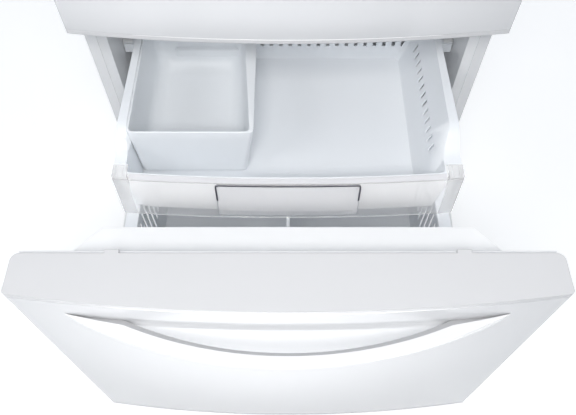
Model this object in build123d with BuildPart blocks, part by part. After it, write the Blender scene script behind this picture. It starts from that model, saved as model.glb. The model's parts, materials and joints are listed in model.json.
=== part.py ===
from build123d import *
import math
import os

# Refrigerator with one door above and a freezer drawer below.
# Frame: +X to the right, +Y to the rear, +Z up, floor at Z 0, millimetres.
# The pose modelled is the one in use: the door shut, the drawer and its tray pulled out.

# ---------------------------------------------------------------- driving dimensions

# Case
case_width = 832.0
case_depth = 711.0
case_top = 1735.0
case_sheet = 1.0
side_wall = 38.0
top_wall = 54.0
rear_wall = 60.0
mouth_chamfer = 15.0
liner_sheet = 2.0
mullion_height = 72.0
freezer_floor_wall = 52.0
machine_depth = 196.0
machine_height = 222.0
hump_wall = 55.0
rail_leg_rise = 6.0
rail_leg_depth = 30.0

# Base
base_plate_bottom = 46.0
base_plate_sheet = 2.0
base_flange_drop = 30.0
base_front_inset = 10.0
leg_inset_x = 56.0
leg_inset_y = 45.0
leg_foot_radius = 18.0
leg_foot_height = 8.0
leg_hex_width = 18.0
leg_hex_height = 8.0
leg_stem_radius = 6.0
leg_nut_height = 16.0
leg_nut_width = 30.0
roller_radius = 18.0
roller_width = 20.0
roller_axle_radius = 4.0
roller_inset_x = 76.0
roller_inset_y = 60.0
roller_ear_sheet = 3.0
grille_thickness = 3.0
grille_bottom = 10.0
grille_slot_height = 4.0
grille_slot_pitch = 9.0
grille_slot_length = 150.0
grille_slot_spacing = 180.0

# Doors (the drawer front is the lower door)
door_thickness = 66.0
door_bow = 28.4
gasket_gap = 6.6
door_gap = 16.0
drawer_bottom = 52.0
drawer_height = 644.0
fresh_door_drop = 5.0
door_sheet = 1.0
door_front_radius = 6.0
door_rear_radius = 12.0
door_return = 13.0
cap_height = 10.0
cap_edge_radius = 2.5
cap_tab_width = 22.0
cap_tab_inset = 150.0
gasket_width = 16.0
gasket_inset_x = 8.0
gasket_inset_z = 4.0
pin_radius = 5.0
hinge_inset_x = 12.0
hinge_sheet = 4.0
hinge_cover_height = 27.0
hinge_cover_wall = 2.5
hinge_tab_clearance = 1.0

# Inner ridges of the doors
drawer_ridge_inset = 31.0
drawer_ridge_drop = 38.0
drawer_ridge_depth = 82.0
drawer_ridge_slope_x = 53.0
drawer_ridge_slope_z = 28.0
drawer_pocket_depth = 30.0
drawer_pocket_rim = 24.0
fresh_ridge_inset = 48.0
fresh_ridge_clearance = 13.0
fresh_ridge_depth = 60.0
fresh_ridge_slope = 18.0
fresh_ridge_crest = 27.0

# Bow handles
handle_standoff = 61.0
handle_half_span = 336.0
handle_depth = 20.0
handle_root = 88.0
handle_height = 26.0
handle_drop = 51.0
handle_edge_radius = 6.0
handle_tip_depth = 8.0
handle_tip_radius = 5.0
fresh_handle_inset = 66.0
fresh_handle_rise = 138.0

# Travel of the drawer and its tray in the pose modelled
drawer_open = 519.0
tray_open = 385.0

# Telescopic slides
slide_drop = 23.0
slide_height = 46.0
slide_sheet = 1.5
slide_start = 30.0
slide_rear_gap = 30.0
slide_spacer = 16.0
slide_reach = 13.0
slide_bar = 4.5
spacer_length = 40.0
spacer_height = 30.0
carrier_inset = 5.0
carrier_sheet = 3.0
carrier_start = 30.0
carrier_tab_width = 40.0
carrier_tab_height = 100.0
carrier_recess_gap = 2.0

# Tray (depths are behind the case front with the tray shut)
tray_headroom = 103.0
tray_depth = 149.0
tray_wall = 2.5
tray_side_gap = 38.0
tray_rim_width = 17.0
tray_left_draft = 5.0
tray_right_draft = 48.0
tray_rear_gap = 10.0
tray_front_drop = 37.0
tray_slope_rear = 228.0
tray_slope_front = 150.0
tray_flare_rear = 5.0
tray_flare_middle = 2.0
tray_flare_front = 7.0
tray_front_bow = 14.0
tray_front_mid = 109.0
tray_slot_width = 8.0
tray_slot_pitch = 22.8
tray_slot_inset = 44.0
tray_slot_count = 25
tray_slot_rise = 41.0
tray_slot_top_gap = 20.0
side_slot_count = 13
side_slot_front = 211.0
side_slot_pitch = 24.2
side_slot_rise = 66.0
side_slot_height = 22.0
runner_length = 70.0
runner_height = 24.0
runner_rise = 87.0
rail_sheet = 2.0
rail_depth = 22.0
rail_start = 100.0

# Clear front of the tray and its grip plate
cover_flare = 7.0
cover_wall = 3.0
cover_mid = 88.0
cover_lean = 8.0
cover_bow = 13.0
cover_rear = 141.0
cover_drop = 5.0
cover_corner = 4.0
grip_half = 144.0
grip_top_gap = 3.0
grip_height = 102.0
grip_thickness = 3.0
grip_corner = 8.0

# Ice bin, standing in the tray
bin_side_gap = 0.6
bin_width = 253.4
bin_left_draft = 5.0
bin_right_draft = 19.0
bin_front = 195.0
bin_rear_gap = 17.0
bin_wall = 2.5
bin_rim_drop = 2.0
bin_rim_height = 4.0
bin_rim_front = 5.0
bin_rim_right_front = 10.0
bin_rim_right_rear = 35.0
bin_corner = 10.0

# Basket
basket_front = 90.0
basket_rear_gap = 20.0
basket_tray_gap = 20.0
basket_slide_gap = 3.0
basket_carrier_gap = 16.0
basket_rise = 35.0
basket_hump_gap = 15.0
basket_wall = 2.5
basket_slot_count = 13
basket_slot_width = 8.0
basket_slot_rise = 95.0
basket_slot_top_gap = 24.0
divider_thickness = 7.5
divider_clearance = 3.0

# Machine space
compressor_radius = 80.0
compressor_height = 160.0
compressor_x = -190.0
mount_radius = 11.0
mount_height = 14.0
mount_spread = 62.0
tube_radius = 3.0
condenser_passes = 7
condenser_pitch = 24.0
condenser_rows = 3
condenser_row_pitch = 50.0
condenser_left = 70.0
condenser_inset = 86.0
condenser_rise = 38.0
pan_height = 26.0
pan_wall = 2.0
fan_x = 0.0
fan_frame_size = 176.0
fan_frame_depth = 22.0
fan_radius = 74.0
fan_blade_count = 5
fan_hub_radius = 18.0
fan_hub_length = 16.0
fan_shaft_radius = 3.0
fan_blade_sheet = 1.8
fan_pitch_angle = 28.0
louvre_pitch = 18.0
louvre_height = 5.0
louvre_length = 260.0
louvre_spacing = 312.0
louvre_columns = 2
louvre_count = 9

# Freezer air side
evaporator_space = 91.0
evaporator_cover_sheet = 3.0
evaporator_inset = 78.0
evaporator_rise = 25.0
evaporator_passes = 7
evaporator_pitch = 28.0
evaporator_rows = 2
evaporator_row_pitch = 30.0
evaporator_fan_drop = 63.0
evaporator_fan_radius = 46.0
evaporator_motor_radius = 18.0
evaporator_motor_length = 30.0
air_slot_width = 90.0
air_slot_spacing = 117.0
air_slot_columns = 5
air_slot_rows = 6
air_slot_low_rows = 2
air_slot_height = 6.0
air_slot_pitch = 14.0

# Fresh compartment
track_inset = 33.0
track_half_inner = 84.0
track_width = 12.0
track_depth = 10.0
track_rise = 35.0
track_top_gap = 31.0
track_slot_pitch = 30.0
track_slot_height = 12.0
track_slot_width = 4.0
shelf_count = 2
shelf_front = 135.0
shelf_drop = 34.0
shelf_rail = 3.0
shelf_glass_thickness = 4.0
shelf_trim_height = 14.0
shelf_trim_depth = 8.0
crisper_front = 215.0
crisper_rear_gap = 31.0
crisper_height = 190.0
crisper_wall = 2.5
crisper_gap = 8.0
crisper_cover_front = 205.0
crisper_cover_height = 20.0
crisper_cover_rise = 12.0
humidity_width = 34.0
humidity_height = 12.0
humidity_depth = 8.0
duct_half = 60.0
duct_depth = 14.0
duct_rise = 15.0
duct_top_gap = 11.0
duct_slot_pitch = 70.0
duct_slot_count = 7
duct_slot_width = 60.0
control_half = 180.0
control_front = 95.0
control_rear = 300.0
control_height = 40.0
control_wall = 2.5
button_radius = 8.0
button_depth = 9.0
button_proud = 2.5
button_pitch = 50.0
lens_half = 120.0
lens_front = 140.0
lens_rear = 270.0
lens_thickness = 4.0

# Inside of the upper door
door_bin_count = 3
door_bin_rise = 220.0
door_bin_height = 85.0
door_bin_depth = 104.0
door_bin_wall = 2.5
dairy_headroom = 122.0
dairy_height = 80.0
dairy_lid_sheet = 2.0
dairy_lid_lip = 36.0
dairy_pin_radius = 2.5

# Clearances
seat = 0.3
running_fit = 0.05
slide_clearance = 0.4

# ---------------------------------------------------------------- places worked out from them

case_half = case_width / 2
handle_reach = gasket_gap + door_thickness + door_bow + handle_standoff + drawer_open
case_front = (handle_reach - case_depth) / 2
case_back = case_front + case_depth
cavity_half = case_half - side_wall
flange_edge = cavity_half + mouth_chamfer
cavity_rear = case_back - rear_wall
fresh_ceiling = case_top - top_wall
foam_bottom = base_plate_bottom + base_plate_sheet
freezer_floor = foam_bottom + freezer_floor_wall
machine_front = case_back - machine_depth
machine_top = foam_bottom + machine_height
hump_front = machine_front - hump_wall
hump_top = machine_top + hump_wall
drawer_top = drawer_bottom + drawer_height
gap_middle = drawer_top + door_gap / 2
freezer_ceiling = gap_middle - mullion_height / 2
fresh_floor = gap_middle + mullion_height / 2
fresh_door_bottom = drawer_top + door_gap
fresh_door_top = case_top - fresh_door_drop
fresh_door_back = case_front - gasket_gap
drawer_back = fresh_door_back - drawer_open
bow_radius = (case_half**2 + door_bow**2) / (2 * door_bow)
hinge_x = case_half - hinge_inset_x
hinge_y = fresh_door_back - door_thickness / 2
drawer_shift = case_front - drawer_open
tray_shift = case_front - tray_open
evaporator_cover_y = cavity_rear - evaporator_space

tray_rim = freezer_ceiling - tray_headroom
tray_floor = tray_rim - tray_depth
tray_front_top = tray_rim - tray_front_drop
tray_rim_half = cavity_half - tray_side_gap
tray_top_half = tray_rim_half - tray_rim_width
tray_left_bottom_half = tray_top_half - tray_left_draft
tray_right_bottom_half = tray_top_half - tray_right_draft
runner_bottom = tray_floor + runner_rise

slide_outer_half = cavity_half - slide_spacer
slide_inner_edge = slide_outer_half - slide_reach
basket_rim = tray_floor - basket_tray_gap
basket_rim_half = slide_inner_edge - basket_slide_gap
carrier_half = basket_rim_half - carrier_inset
basket_half = carrier_half - carrier_sheet - basket_carrier_gap
basket_bottom = freezer_floor + basket_rise
basket_step_bottom = hump_top + basket_hump_gap
slide_top = basket_rim - slide_drop
slide_bottom = slide_top - slide_height
slide_length = evaporator_cover_y - slide_rear_gap - case_front - slide_start

cover_level = fresh_floor + seat + crisper_height + crisper_cover_rise + crisper_cover_height
cover_low = cover_level - crisper_cover_height
cover_middle = (cover_low + cover_level) / 2
cover_front_y = case_front + crisper_cover_front
humidity_offset = cavity_half / 2
control_bottom = fresh_ceiling - control_height
shelf_pitch = (control_bottom - cover_level) / (shelf_count + 1)
shelf_levels = [cover_level + shelf_pitch * (shelf + 1) for shelf in range(shelf_count)]
track_half_outer = cavity_half - track_inset
track_bottom = cover_level + track_rise
track_top = control_bottom - track_top_gap
duct_bottom = cover_level + duct_rise
duct_top = control_bottom - duct_top_gap


# ---------------------------------------------------------------- shared shapes


def block(x, y, z, mode=Mode.ADD):
    """Block between two corners, each axis given as a (low, high) pair."""
    with BuildSketch(Plane.XY.offset(z[0])) as outline:
        with Locations(((x[0] + x[1]) / 2, (y[0] + y[1]) / 2)):
            Rectangle(x[1] - x[0], y[1] - y[0])
    extrude(outline.sketch, amount=z[1] - z[0], mode=mode)


def side_profile(points, x, mode=Mode.ADD):
    """Prism whose outline is given in Y and Z, from x[0] to x[1]."""
    with BuildSketch(Plane.YZ.offset(x[0])) as outline:
        with BuildLine():
            Polyline(*points, close=True)
        make_face()
    extrude(outline.sketch, amount=x[1] - x[0], mode=mode)


def front_profile(points, y, mode=Mode.ADD):
    """Prism whose outline is given in X and Z, from y[0] to y[1]."""
    with BuildSketch(Plane.XZ.offset(-y[1])) as outline:
        with BuildLine():
            Polyline(*points, close=True)
        make_face()
    extrude(outline.sketch, amount=y[1] - y[0], mode=mode)


def round_bar(centre, radius, z, mode=Mode.ADD):
    """Upright cylinder about centre (x, y)."""
    with BuildSketch(Plane.XY.offset(z[0])) as outline:
        with Locations(centre):
            Circle(radius)
    extrude(outline.sketch, amount=z[1] - z[0], mode=mode)


def cross_bar(centre, radius, x, mode=Mode.ADD):
    """Cylinder along X about centre (y, z)."""
    with BuildSketch(Plane.YZ.offset(x[0])) as outline:
        with Locations(centre):
            Circle(radius)
    extrude(outline.sketch, amount=x[1] - x[0], mode=mode)


def depth_bar(centre, radius, y, mode=Mode.ADD):
    """Cylinder along Y about centre (x, z)."""
    with BuildSketch(Plane.XZ.offset(-y[1])) as outline:
        with Locations(centre):
            Circle(radius)
    extrude(outline.sketch, amount=y[1] - y[0], mode=mode)


def frustum(near, far, mode=Mode.ADD):
    """Tapered block along Y; each end is (y, half width, low z, high z)."""
    ends = []
    for y, half, low, high in (near, far):
        with BuildSketch(Plane.XZ.offset(-y)) as end:
            with Locations((0, (low + high) / 2)):
                Rectangle(2 * half, high - low)
        ends.append(end.sketch.face())
    loft(ends, ruled=True, mode=mode)


def tub(top, bottom, mode=Mode.ADD):
    """Tapered block along Z; each end is (z, low x, high x, low y, high y)."""
    ends = []
    for z, x_low, x_high, y_low, y_high in (bottom, top):
        with BuildSketch(Plane.XY.offset(z)) as end:
            with Locations(((x_low + x_high) / 2, (y_low + y_high) / 2)):
                Rectangle(x_high - x_low, y_high - y_low)
        ends.append(end.sketch.face())
    loft(ends, ruled=True, mode=mode)


def compartment(floor, ceiling, grow, stepped, mode=Mode.ADD):
    """Space of a lined compartment, grown all round, with its flared mouth."""
    half = cavity_half + grow
    low = floor - grow
    high = ceiling + grow
    mouth_front = case_front + case_sheet
    mouth_rear = mouth_front + mouth_chamfer
    rear = cavity_rear + grow
    outline = [(mouth_rear, low), (mouth_rear, high), (rear, high)]
    if stepped:
        step = hump_front + grow
        outline += [(rear, hump_top - grow), (step, hump_top - grow), (step, low)]
    else:
        outline += [(rear, low)]
    side_profile(outline, (-half, half), mode)
    frustum(
        (mouth_front, half + mouth_chamfer, low - mouth_chamfer, high + mouth_chamfer),
        (mouth_rear, half, low, high),
        mode,
    )


def door_panel(back, bottom, top, inset=0.0, mode=Mode.ADD):
    """Bowed door body whose rear plane is at back, pulled in all round by inset."""
    half = case_half - inset
    rear = back - inset
    side_front = back - door_thickness
    sag = bow_radius - math.sqrt(bow_radius**2 - half**2)
    crown = side_front - door_bow + inset
    with BuildSketch(Plane.XY.offset(bottom)) as plan:
        with BuildLine():
            Line((half, crown + sag), (half, rear))
            Line((half, rear), (-half, rear))
            Line((-half, rear), (-half, crown + sag))
            ThreePointArc((-half, crown + sag), (0, crown), (half, crown + sag))
        make_face()
        corners = plan.vertices().group_by(Axis.Y)
        fillet(corners[-1], max(door_rear_radius - inset, 1.0))
        fillet(plan.vertices().group_by(Axis.Y)[0], max(door_front_radius - inset, 1.0))
    extrude(plan.sketch, amount=top - bottom, mode=mode)


def crescent(plane, tip, mid, inner_tip, inner_mid):
    """Bow of a handle with blunt ends, its length along the plane's local x."""
    inner_half = handle_half_span - handle_root
    back = inner_tip + handle_depth
    with BuildSketch(plane) as bow:
        with BuildLine():
            ThreePointArc((-handle_half_span, tip), (0, mid), (handle_half_span, tip))
            Polyline((handle_half_span, tip), (handle_half_span, back), (inner_half, back), (inner_half, inner_tip))
            ThreePointArc((inner_half, inner_tip), (0, inner_mid), (-inner_half, inner_tip))
            Polyline(
                (-inner_half, inner_tip), (-inner_half, back), (-handle_half_span, back), (-handle_half_span, tip)
            )
        make_face()
        fillet(bow.vertices().group_by(Axis.Y)[0], handle_tip_radius)
    extrude(bow.sketch, amount=handle_height)


def gasket_ring(back, bottom, top):
    """Frame of the magnetic seal on the rear of a door."""
    outer_half = case_half - gasket_inset_x
    low = bottom + gasket_inset_z
    high = top - gasket_inset_z
    y = (back, back + gasket_gap - seat)
    block((-outer_half, outer_half), y, (low, high))
    inner_half = outer_half - gasket_width
    block((-inner_half, inner_half), y, (low + gasket_width, high - gasket_width), Mode.SUBTRACT)


def serpentine(y, x_left, x_right, z_bottom, passes, pitch):
    """One unbroken tube that runs to and fro along X and climbs by pitch at each turn."""
    bend = pitch / 2 - seat
    points = []
    for turn in range(passes):
        ends = (x_left, x_right) if turn % 2 == 0 else (x_right, x_left)
        points += [(end, y, z_bottom + turn * pitch) for end in ends]
    with BuildLine() as route:
        FilletPolyline(*points, radius=bend)
    start = route.line @ 0
    with BuildSketch(Plane(origin=start, z_dir=route.line % 0)) as section:
        Circle(tube_radius)
    sweep(section.sketch, path=route.line)


def fan_wheel(radius, blades):
    """Hub and pitched blades about the local Z axis, with a bore for the shaft."""
    blade_length = radius - fan_hub_radius + fan_blade_sheet
    Cylinder(fan_hub_radius, fan_hub_length)
    with PolarLocations((radius + fan_hub_radius - fan_blade_sheet) / 2, blades):
        Box(blade_length, fan_hub_radius, fan_blade_sheet, rotation=(fan_pitch_angle, 0, 0))
    Cylinder(fan_shaft_radius + running_fit, fan_hub_length, mode=Mode.SUBTRACT)


# ---------------------------------------------------------------- case

with BuildPart() as cabinet_shell:
    block((-case_half, case_half), (case_front, case_back), (foam_bottom, case_top))
    block(
        (case_sheet - case_half, case_half - case_sheet),
        (case_front + case_sheet, case_back),
        (foam_bottom, case_top - case_sheet),
        Mode.SUBTRACT,
    )
    block(
        (-flange_edge, flange_edge),
        (case_front, case_front + case_sheet),
        (freezer_floor - mouth_chamfer, fresh_ceiling + mouth_chamfer),
        Mode.SUBTRACT,
    )

with BuildPart() as rear_panel:
    block(
        (case_sheet - case_half, case_half - case_sheet),
        (case_back - case_sheet, case_back),
        (machine_top, case_top - case_sheet),
    )

rail_low = freezer_ceiling + mouth_chamfer
rail_high = fresh_floor - mouth_chamfer


def rail_legs(mode=Mode.ADD):
    """Two stiffening legs behind the rail between the openings."""
    for low in (rail_low + rail_leg_rise, rail_high - rail_leg_rise - case_sheet):
        block(
            (-cavity_half, cavity_half),
            (case_front + case_sheet, case_front + rail_leg_depth),
            (low, low + case_sheet),
            mode,
        )


with BuildPart() as mullion_rail:
    block((-flange_edge, flange_edge), (case_front, case_front + case_sheet), (rail_low, rail_high))
    rail_legs()

with BuildPart() as cabinet_foam:
    side_profile(
        [
            (case_front + case_sheet, foam_bottom),
            (case_front + case_sheet, case_top - case_sheet),
            (case_back - case_sheet, case_top - case_sheet),
            (case_back - case_sheet, machine_top),
            (machine_front, machine_top),
            (machine_front, foam_bottom),
        ],
        (case_sheet - case_half, case_half - case_sheet),
    )
    compartment(fresh_floor, fresh_ceiling, liner_sheet, False, Mode.SUBTRACT)
    compartment(freezer_floor, freezer_ceiling, liner_sheet, True, Mode.SUBTRACT)
    rail_legs(Mode.SUBTRACT)

with BuildPart() as fresh_liner:
    compartment(fresh_floor, fresh_ceiling, liner_sheet, False)
    compartment(fresh_floor, fresh_ceiling, 0, False, Mode.SUBTRACT)

with BuildPart() as freezer_liner:
    compartment(freezer_floor, freezer_ceiling, liner_sheet, True)
    compartment(freezer_floor, freezer_ceiling, 0, True, Mode.SUBTRACT)

# ---------------------------------------------------------------- base

leg_x = case_half - leg_inset_x
leg_y = case_front + leg_inset_y
roller_x = case_half - roller_inset_x
roller_y = case_back - roller_inset_y
ear_gap = roller_width / 2 + 2 * seat
base_front = case_front + base_front_inset

with BuildPart() as base_frame:
    block(
        (-case_half, case_half),
        (base_front, case_back),
        (base_plate_bottom, foam_bottom),
    )
    for side in (-1, 1):
        edge = side * case_half
        inner = edge - side * base_plate_sheet
        block(
            (min(edge, inner), max(edge, inner)),
            (base_front, case_back),
            (base_plate_bottom - base_flange_drop, base_plate_bottom),
        )
        block(
            (side * leg_x - leg_nut_width / 2, side * leg_x + leg_nut_width / 2),
            (leg_y - leg_nut_width / 2, leg_y + leg_nut_width / 2),
            (base_plate_bottom - leg_nut_height, base_plate_bottom),
        )
        round_bar(
            (side * leg_x, leg_y),
            leg_stem_radius + running_fit,
            (base_plate_bottom - leg_nut_height, base_plate_bottom),
            Mode.SUBTRACT,
        )
        for ear in (side * roller_x - ear_gap - roller_ear_sheet, side * roller_x + ear_gap):
            block(
                (ear, ear + roller_ear_sheet),
                (roller_y - roller_radius, roller_y + roller_radius),
                (roller_radius - 2 * roller_axle_radius, base_plate_bottom),
            )
        cross_bar(
            (roller_y, roller_radius),
            roller_axle_radius,
            (side * roller_x - ear_gap - roller_ear_sheet, side * roller_x + ear_gap + roller_ear_sheet),
        )
    block(
        (-case_half, case_half),
        (base_front, base_front + base_plate_sheet),
        (base_plate_bottom - base_flange_drop, base_plate_bottom),
    )


def levelling_leg(side):
    """Screw-in foot under a front corner."""
    centre = (side * leg_x, leg_y)
    with BuildPart() as leg:
        round_bar(centre, leg_foot_radius, (0, leg_foot_height))
        fillet(leg.edges().filter_by(GeomType.CIRCLE).sort_by(Axis.Z)[-1], cap_edge_radius)
        with BuildSketch(Plane.XY.offset(leg_foot_height)) as hexagon:
            with Locations(centre):
                RegularPolygon(leg_hex_width / 2, 6)
        extrude(hexagon.sketch, amount=leg_hex_height)
        round_bar(centre, leg_stem_radius, (leg_foot_height, base_plate_bottom - seat))
    return leg


leg_left = levelling_leg(-1)
leg_right = levelling_leg(1)

with BuildPart() as rear_rollers:
    for side in (-1, 1):
        span = (side * roller_x - roller_width / 2, side * roller_x + roller_width / 2)
        cross_bar((roller_y, roller_radius), roller_radius, span)
        cross_bar((roller_y, roller_radius), roller_axle_radius + running_fit, span, Mode.SUBTRACT)

with BuildPart() as toe_grille:
    block(
        (seat - case_half, case_half - seat),
        (base_front - grille_thickness, base_front),
        (grille_bottom, base_plate_bottom - seat),
    )
    slot_rows = int((base_plate_bottom - grille_bottom - grille_slot_pitch) // grille_slot_pitch)
    slot_columns = int((case_width - grille_slot_length / 2) // grille_slot_spacing)
    with BuildSketch(Plane.XZ.offset(-base_front)) as slots:
        with Locations((0, (grille_bottom + base_plate_bottom) / 2)):
            with GridLocations(grille_slot_spacing, grille_slot_pitch, slot_columns, slot_rows):
                SlotOverall(grille_slot_length, grille_slot_height)
    extrude(slots.sketch, amount=grille_thickness, mode=Mode.SUBTRACT)

# ---------------------------------------------------------------- machine space

machine_middle = (machine_front + case_back) / 2
condenser_right = case_half - condenser_inset
condenser_bottom = foam_bottom + condenser_rise
pan_floor = foam_bottom + seat

with BuildPart() as machine_cover:
    block(
        (case_sheet - case_half, case_half - case_sheet),
        (case_back - case_sheet, case_back),
        (foam_bottom, machine_top - seat),
    )
    with BuildSketch(Plane.XZ.offset(-case_back)) as louvres:
        with Locations((0, (foam_bottom + machine_top) / 2)):
            with GridLocations(louvre_spacing, louvre_pitch, louvre_columns, louvre_count):
                SlotOverall(louvre_length, louvre_height)
    extrude(louvres.sketch, amount=case_sheet, mode=Mode.SUBTRACT)

compressor_foot = foam_bottom + mount_height
with BuildPart() as compressor:
    round_bar(
        (compressor_x, machine_middle),
        compressor_radius,
        (compressor_foot + cap_height, compressor_foot + compressor_height),
    )
    fillet(compressor.edges().filter_by(GeomType.CIRCLE), compressor_radius / 2.5)
    block(
        (compressor_x - compressor_radius, compressor_x + compressor_radius),
        (machine_middle - mount_spread - mount_radius, machine_middle + mount_spread + mount_radius),
        (compressor_foot, compressor_foot + hinge_sheet),
    )
    round_bar(
        (compressor_x, machine_middle),
        compressor_radius / 2,
        (compressor_foot, compressor_foot + compressor_height / 2),
    )

with BuildPart() as compressor_mounts:
    for side_x in (-1, 1):
        for side_y in (-1, 1):
            centre = (compressor_x + side_x * mount_spread, machine_middle + side_y * mount_spread)
            round_bar(centre, mount_radius, (foam_bottom, compressor_foot))

with BuildPart() as condenser_coil:
    for row in range(condenser_rows):
        row_y = machine_middle + (row - (condenser_rows - 1) / 2) * condenser_row_pitch
        serpentine(
            row_y, condenser_left, condenser_right, condenser_bottom, condenser_passes, condenser_pitch
        )
    tube_top = condenser_bottom + (condenser_passes - 1) * condenser_pitch + tube_radius
    comb_x = (condenser_left + condenser_right) / 2
    row_span = (condenser_rows - 1) / 2 * condenser_row_pitch + 2 * tube_radius
    block(
        (comb_x - tube_radius / 2, comb_x + tube_radius / 2),
        (machine_middle - row_span, machine_middle + row_span),
        (foam_bottom + pan_wall + 2 * seat, tube_top),
    )

with BuildPart() as drain_pan:
    pan_x = (condenser_left - condenser_pitch, condenser_right + condenser_pitch)
    pan_y = (machine_front + condenser_pitch / 2, case_back - condenser_pitch / 2)
    block(pan_x, pan_y, (pan_floor, pan_floor + pan_height))
    block(
        (pan_x[0] + pan_wall, pan_x[1] - pan_wall),
        (pan_y[0] + pan_wall, pan_y[1] - pan_wall),
        (pan_floor + pan_wall, pan_floor + pan_height),
        Mode.SUBTRACT,
    )

fan_z = foam_bottom + fan_frame_size / 2
fan_axle_plane = Plane(origin=(fan_x, machine_middle, fan_z), x_dir=(0, 1, 0), z_dir=(1, 0, 0))
frame_x = (fan_x - fan_frame_depth / 2, fan_x + fan_frame_depth / 2)
motor_x = frame_x[0] - fan_hub_length

with BuildPart() as condenser_fan_frame:
    block(
        frame_x,
        (machine_middle - fan_frame_size / 2, machine_middle + fan_frame_size / 2),
        (foam_bottom, foam_bottom + fan_frame_size),
    )
    cross_bar((machine_middle, fan_z), fan_radius + hinge_sheet, frame_x, Mode.SUBTRACT)
    block(
        (motor_x, motor_x + pan_wall),
        (machine_middle - fan_hub_radius, machine_middle + fan_hub_radius),
        (foam_bottom, foam_bottom + fan_frame_size),
    )
    for low in (foam_bottom, foam_bottom + fan_frame_size - hinge_sheet):
        block(
            (motor_x, frame_x[0]),
            (machine_middle - fan_hub_radius, machine_middle + fan_hub_radius),
            (low, low + hinge_sheet),
        )
    cross_bar((machine_middle, fan_z), fan_hub_radius, (motor_x, fan_x - fan_hub_length / 2 - seat))
    cross_bar((machine_middle, fan_z), fan_shaft_radius, (motor_x, fan_x + fan_hub_length / 2))

with BuildPart(fan_axle_plane) as condenser_fan_blade:
    fan_wheel(fan_radius, fan_blade_count)

# ---------------------------------------------------------------- freezer air side

evaporator_fan_z = freezer_ceiling - evaporator_fan_drop
evaporator_half = cavity_half - evaporator_inset
evaporator_bottom = hump_top + evaporator_rise
air_middle = (evaporator_cover_y + evaporator_cover_sheet + cavity_rear) / 2

with BuildPart() as evaporator_cover:
    block(
        (seat - cavity_half, cavity_half - seat),
        (evaporator_cover_y, evaporator_cover_y + evaporator_cover_sheet),
        (hump_top + seat, freezer_ceiling - seat),
    )
    with BuildSketch(Plane.XZ.offset(-evaporator_cover_y - evaporator_cover_sheet)) as air_slots:
        with Locations((0, evaporator_fan_z)):
            with GridLocations(air_slot_spacing, air_slot_pitch, air_slot_columns, air_slot_rows):
                SlotOverall(air_slot_width, air_slot_height)
        with Locations((0, hump_top + 2 * air_slot_pitch)):
            with GridLocations(air_slot_spacing, air_slot_pitch, air_slot_columns, air_slot_low_rows):
                SlotOverall(air_slot_width, air_slot_height)
    extrude(air_slots.sketch, amount=evaporator_cover_sheet, mode=Mode.SUBTRACT)

with BuildPart() as evaporator_coil:
    for row in range(evaporator_rows):
        row_y = air_middle + (row - (evaporator_rows - 1) / 2) * evaporator_row_pitch
        serpentine(
            row_y, -evaporator_half, evaporator_half, evaporator_bottom, evaporator_passes, evaporator_pitch
        )
    coil_top = evaporator_bottom + (evaporator_passes - 1) * evaporator_pitch
    for side in (-1, 1):
        plate_x = side * (evaporator_half - evaporator_pitch)
        block(
            (plate_x - tube_radius / 2, plate_x + tube_radius / 2),
            (evaporator_cover_y + evaporator_cover_sheet + seat, cavity_rear - seat),
            (evaporator_bottom - evaporator_pitch / 2, coil_top + evaporator_pitch / 2),
        )

with BuildPart() as evaporator_fan_motor:
    depth_bar((0, evaporator_fan_z), evaporator_motor_radius, (cavity_rear - evaporator_motor_length, cavity_rear))
    depth_bar(
        (0, evaporator_fan_z),
        fan_shaft_radius,
        (cavity_rear - evaporator_motor_length - fan_hub_length - seat, cavity_rear),
    )

wheel_y = cavity_rear - evaporator_motor_length - seat - fan_hub_length / 2
evaporator_fan_plane = Plane(
    origin=(0, wheel_y, evaporator_fan_z), x_dir=(1, 0, 0), z_dir=(0, -1, 0)
)
with BuildPart(evaporator_fan_plane) as evaporator_fan_blade:
    fan_wheel(evaporator_fan_radius, fan_blade_count)

# ---------------------------------------------------------------- telescopic slides


def channel(outer, inner, low, high, sheet, y, side):
    """C-section open towards the middle of the case, on one side of it."""
    rim = sorted((side * outer, side * inner))
    core = sorted((side * (outer - sheet), side * inner))
    block(rim, y, (low, high))
    block(core, y, (low + sheet, high - sheet), Mode.SUBTRACT)


def shifted(shift):
    """Y range of a slide member pushed out by shift from its shut place."""
    start = case_front + slide_start - shift
    return (start, start + slide_length)


with BuildPart() as slide_channels:
    for side in (-1, 1):
        channel(
            slide_outer_half, slide_inner_edge, slide_bottom, slide_top, slide_sheet, shifted(0), side
        )
        spacer_x = sorted((side * slide_outer_half, side * cavity_half))
        middle_z = (slide_bottom + slide_top) / 2
        for start in (case_front + slide_start + spacer_length, hump_front - 2 * spacer_length):
            block(
                spacer_x,
                (start, start + spacer_length),
                (middle_z - spacer_height / 2, middle_z + spacer_height / 2),
            )

member_step = slide_sheet + slide_clearance
with BuildPart() as slide_middles:
    for side in (-1, 1):
        channel(
            slide_outer_half - member_step,
            slide_inner_edge + slide_clearance,
            slide_bottom + member_step,
            slide_top - member_step,
            slide_sheet,
            shifted(drawer_open / 2),
            side,
        )

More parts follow.
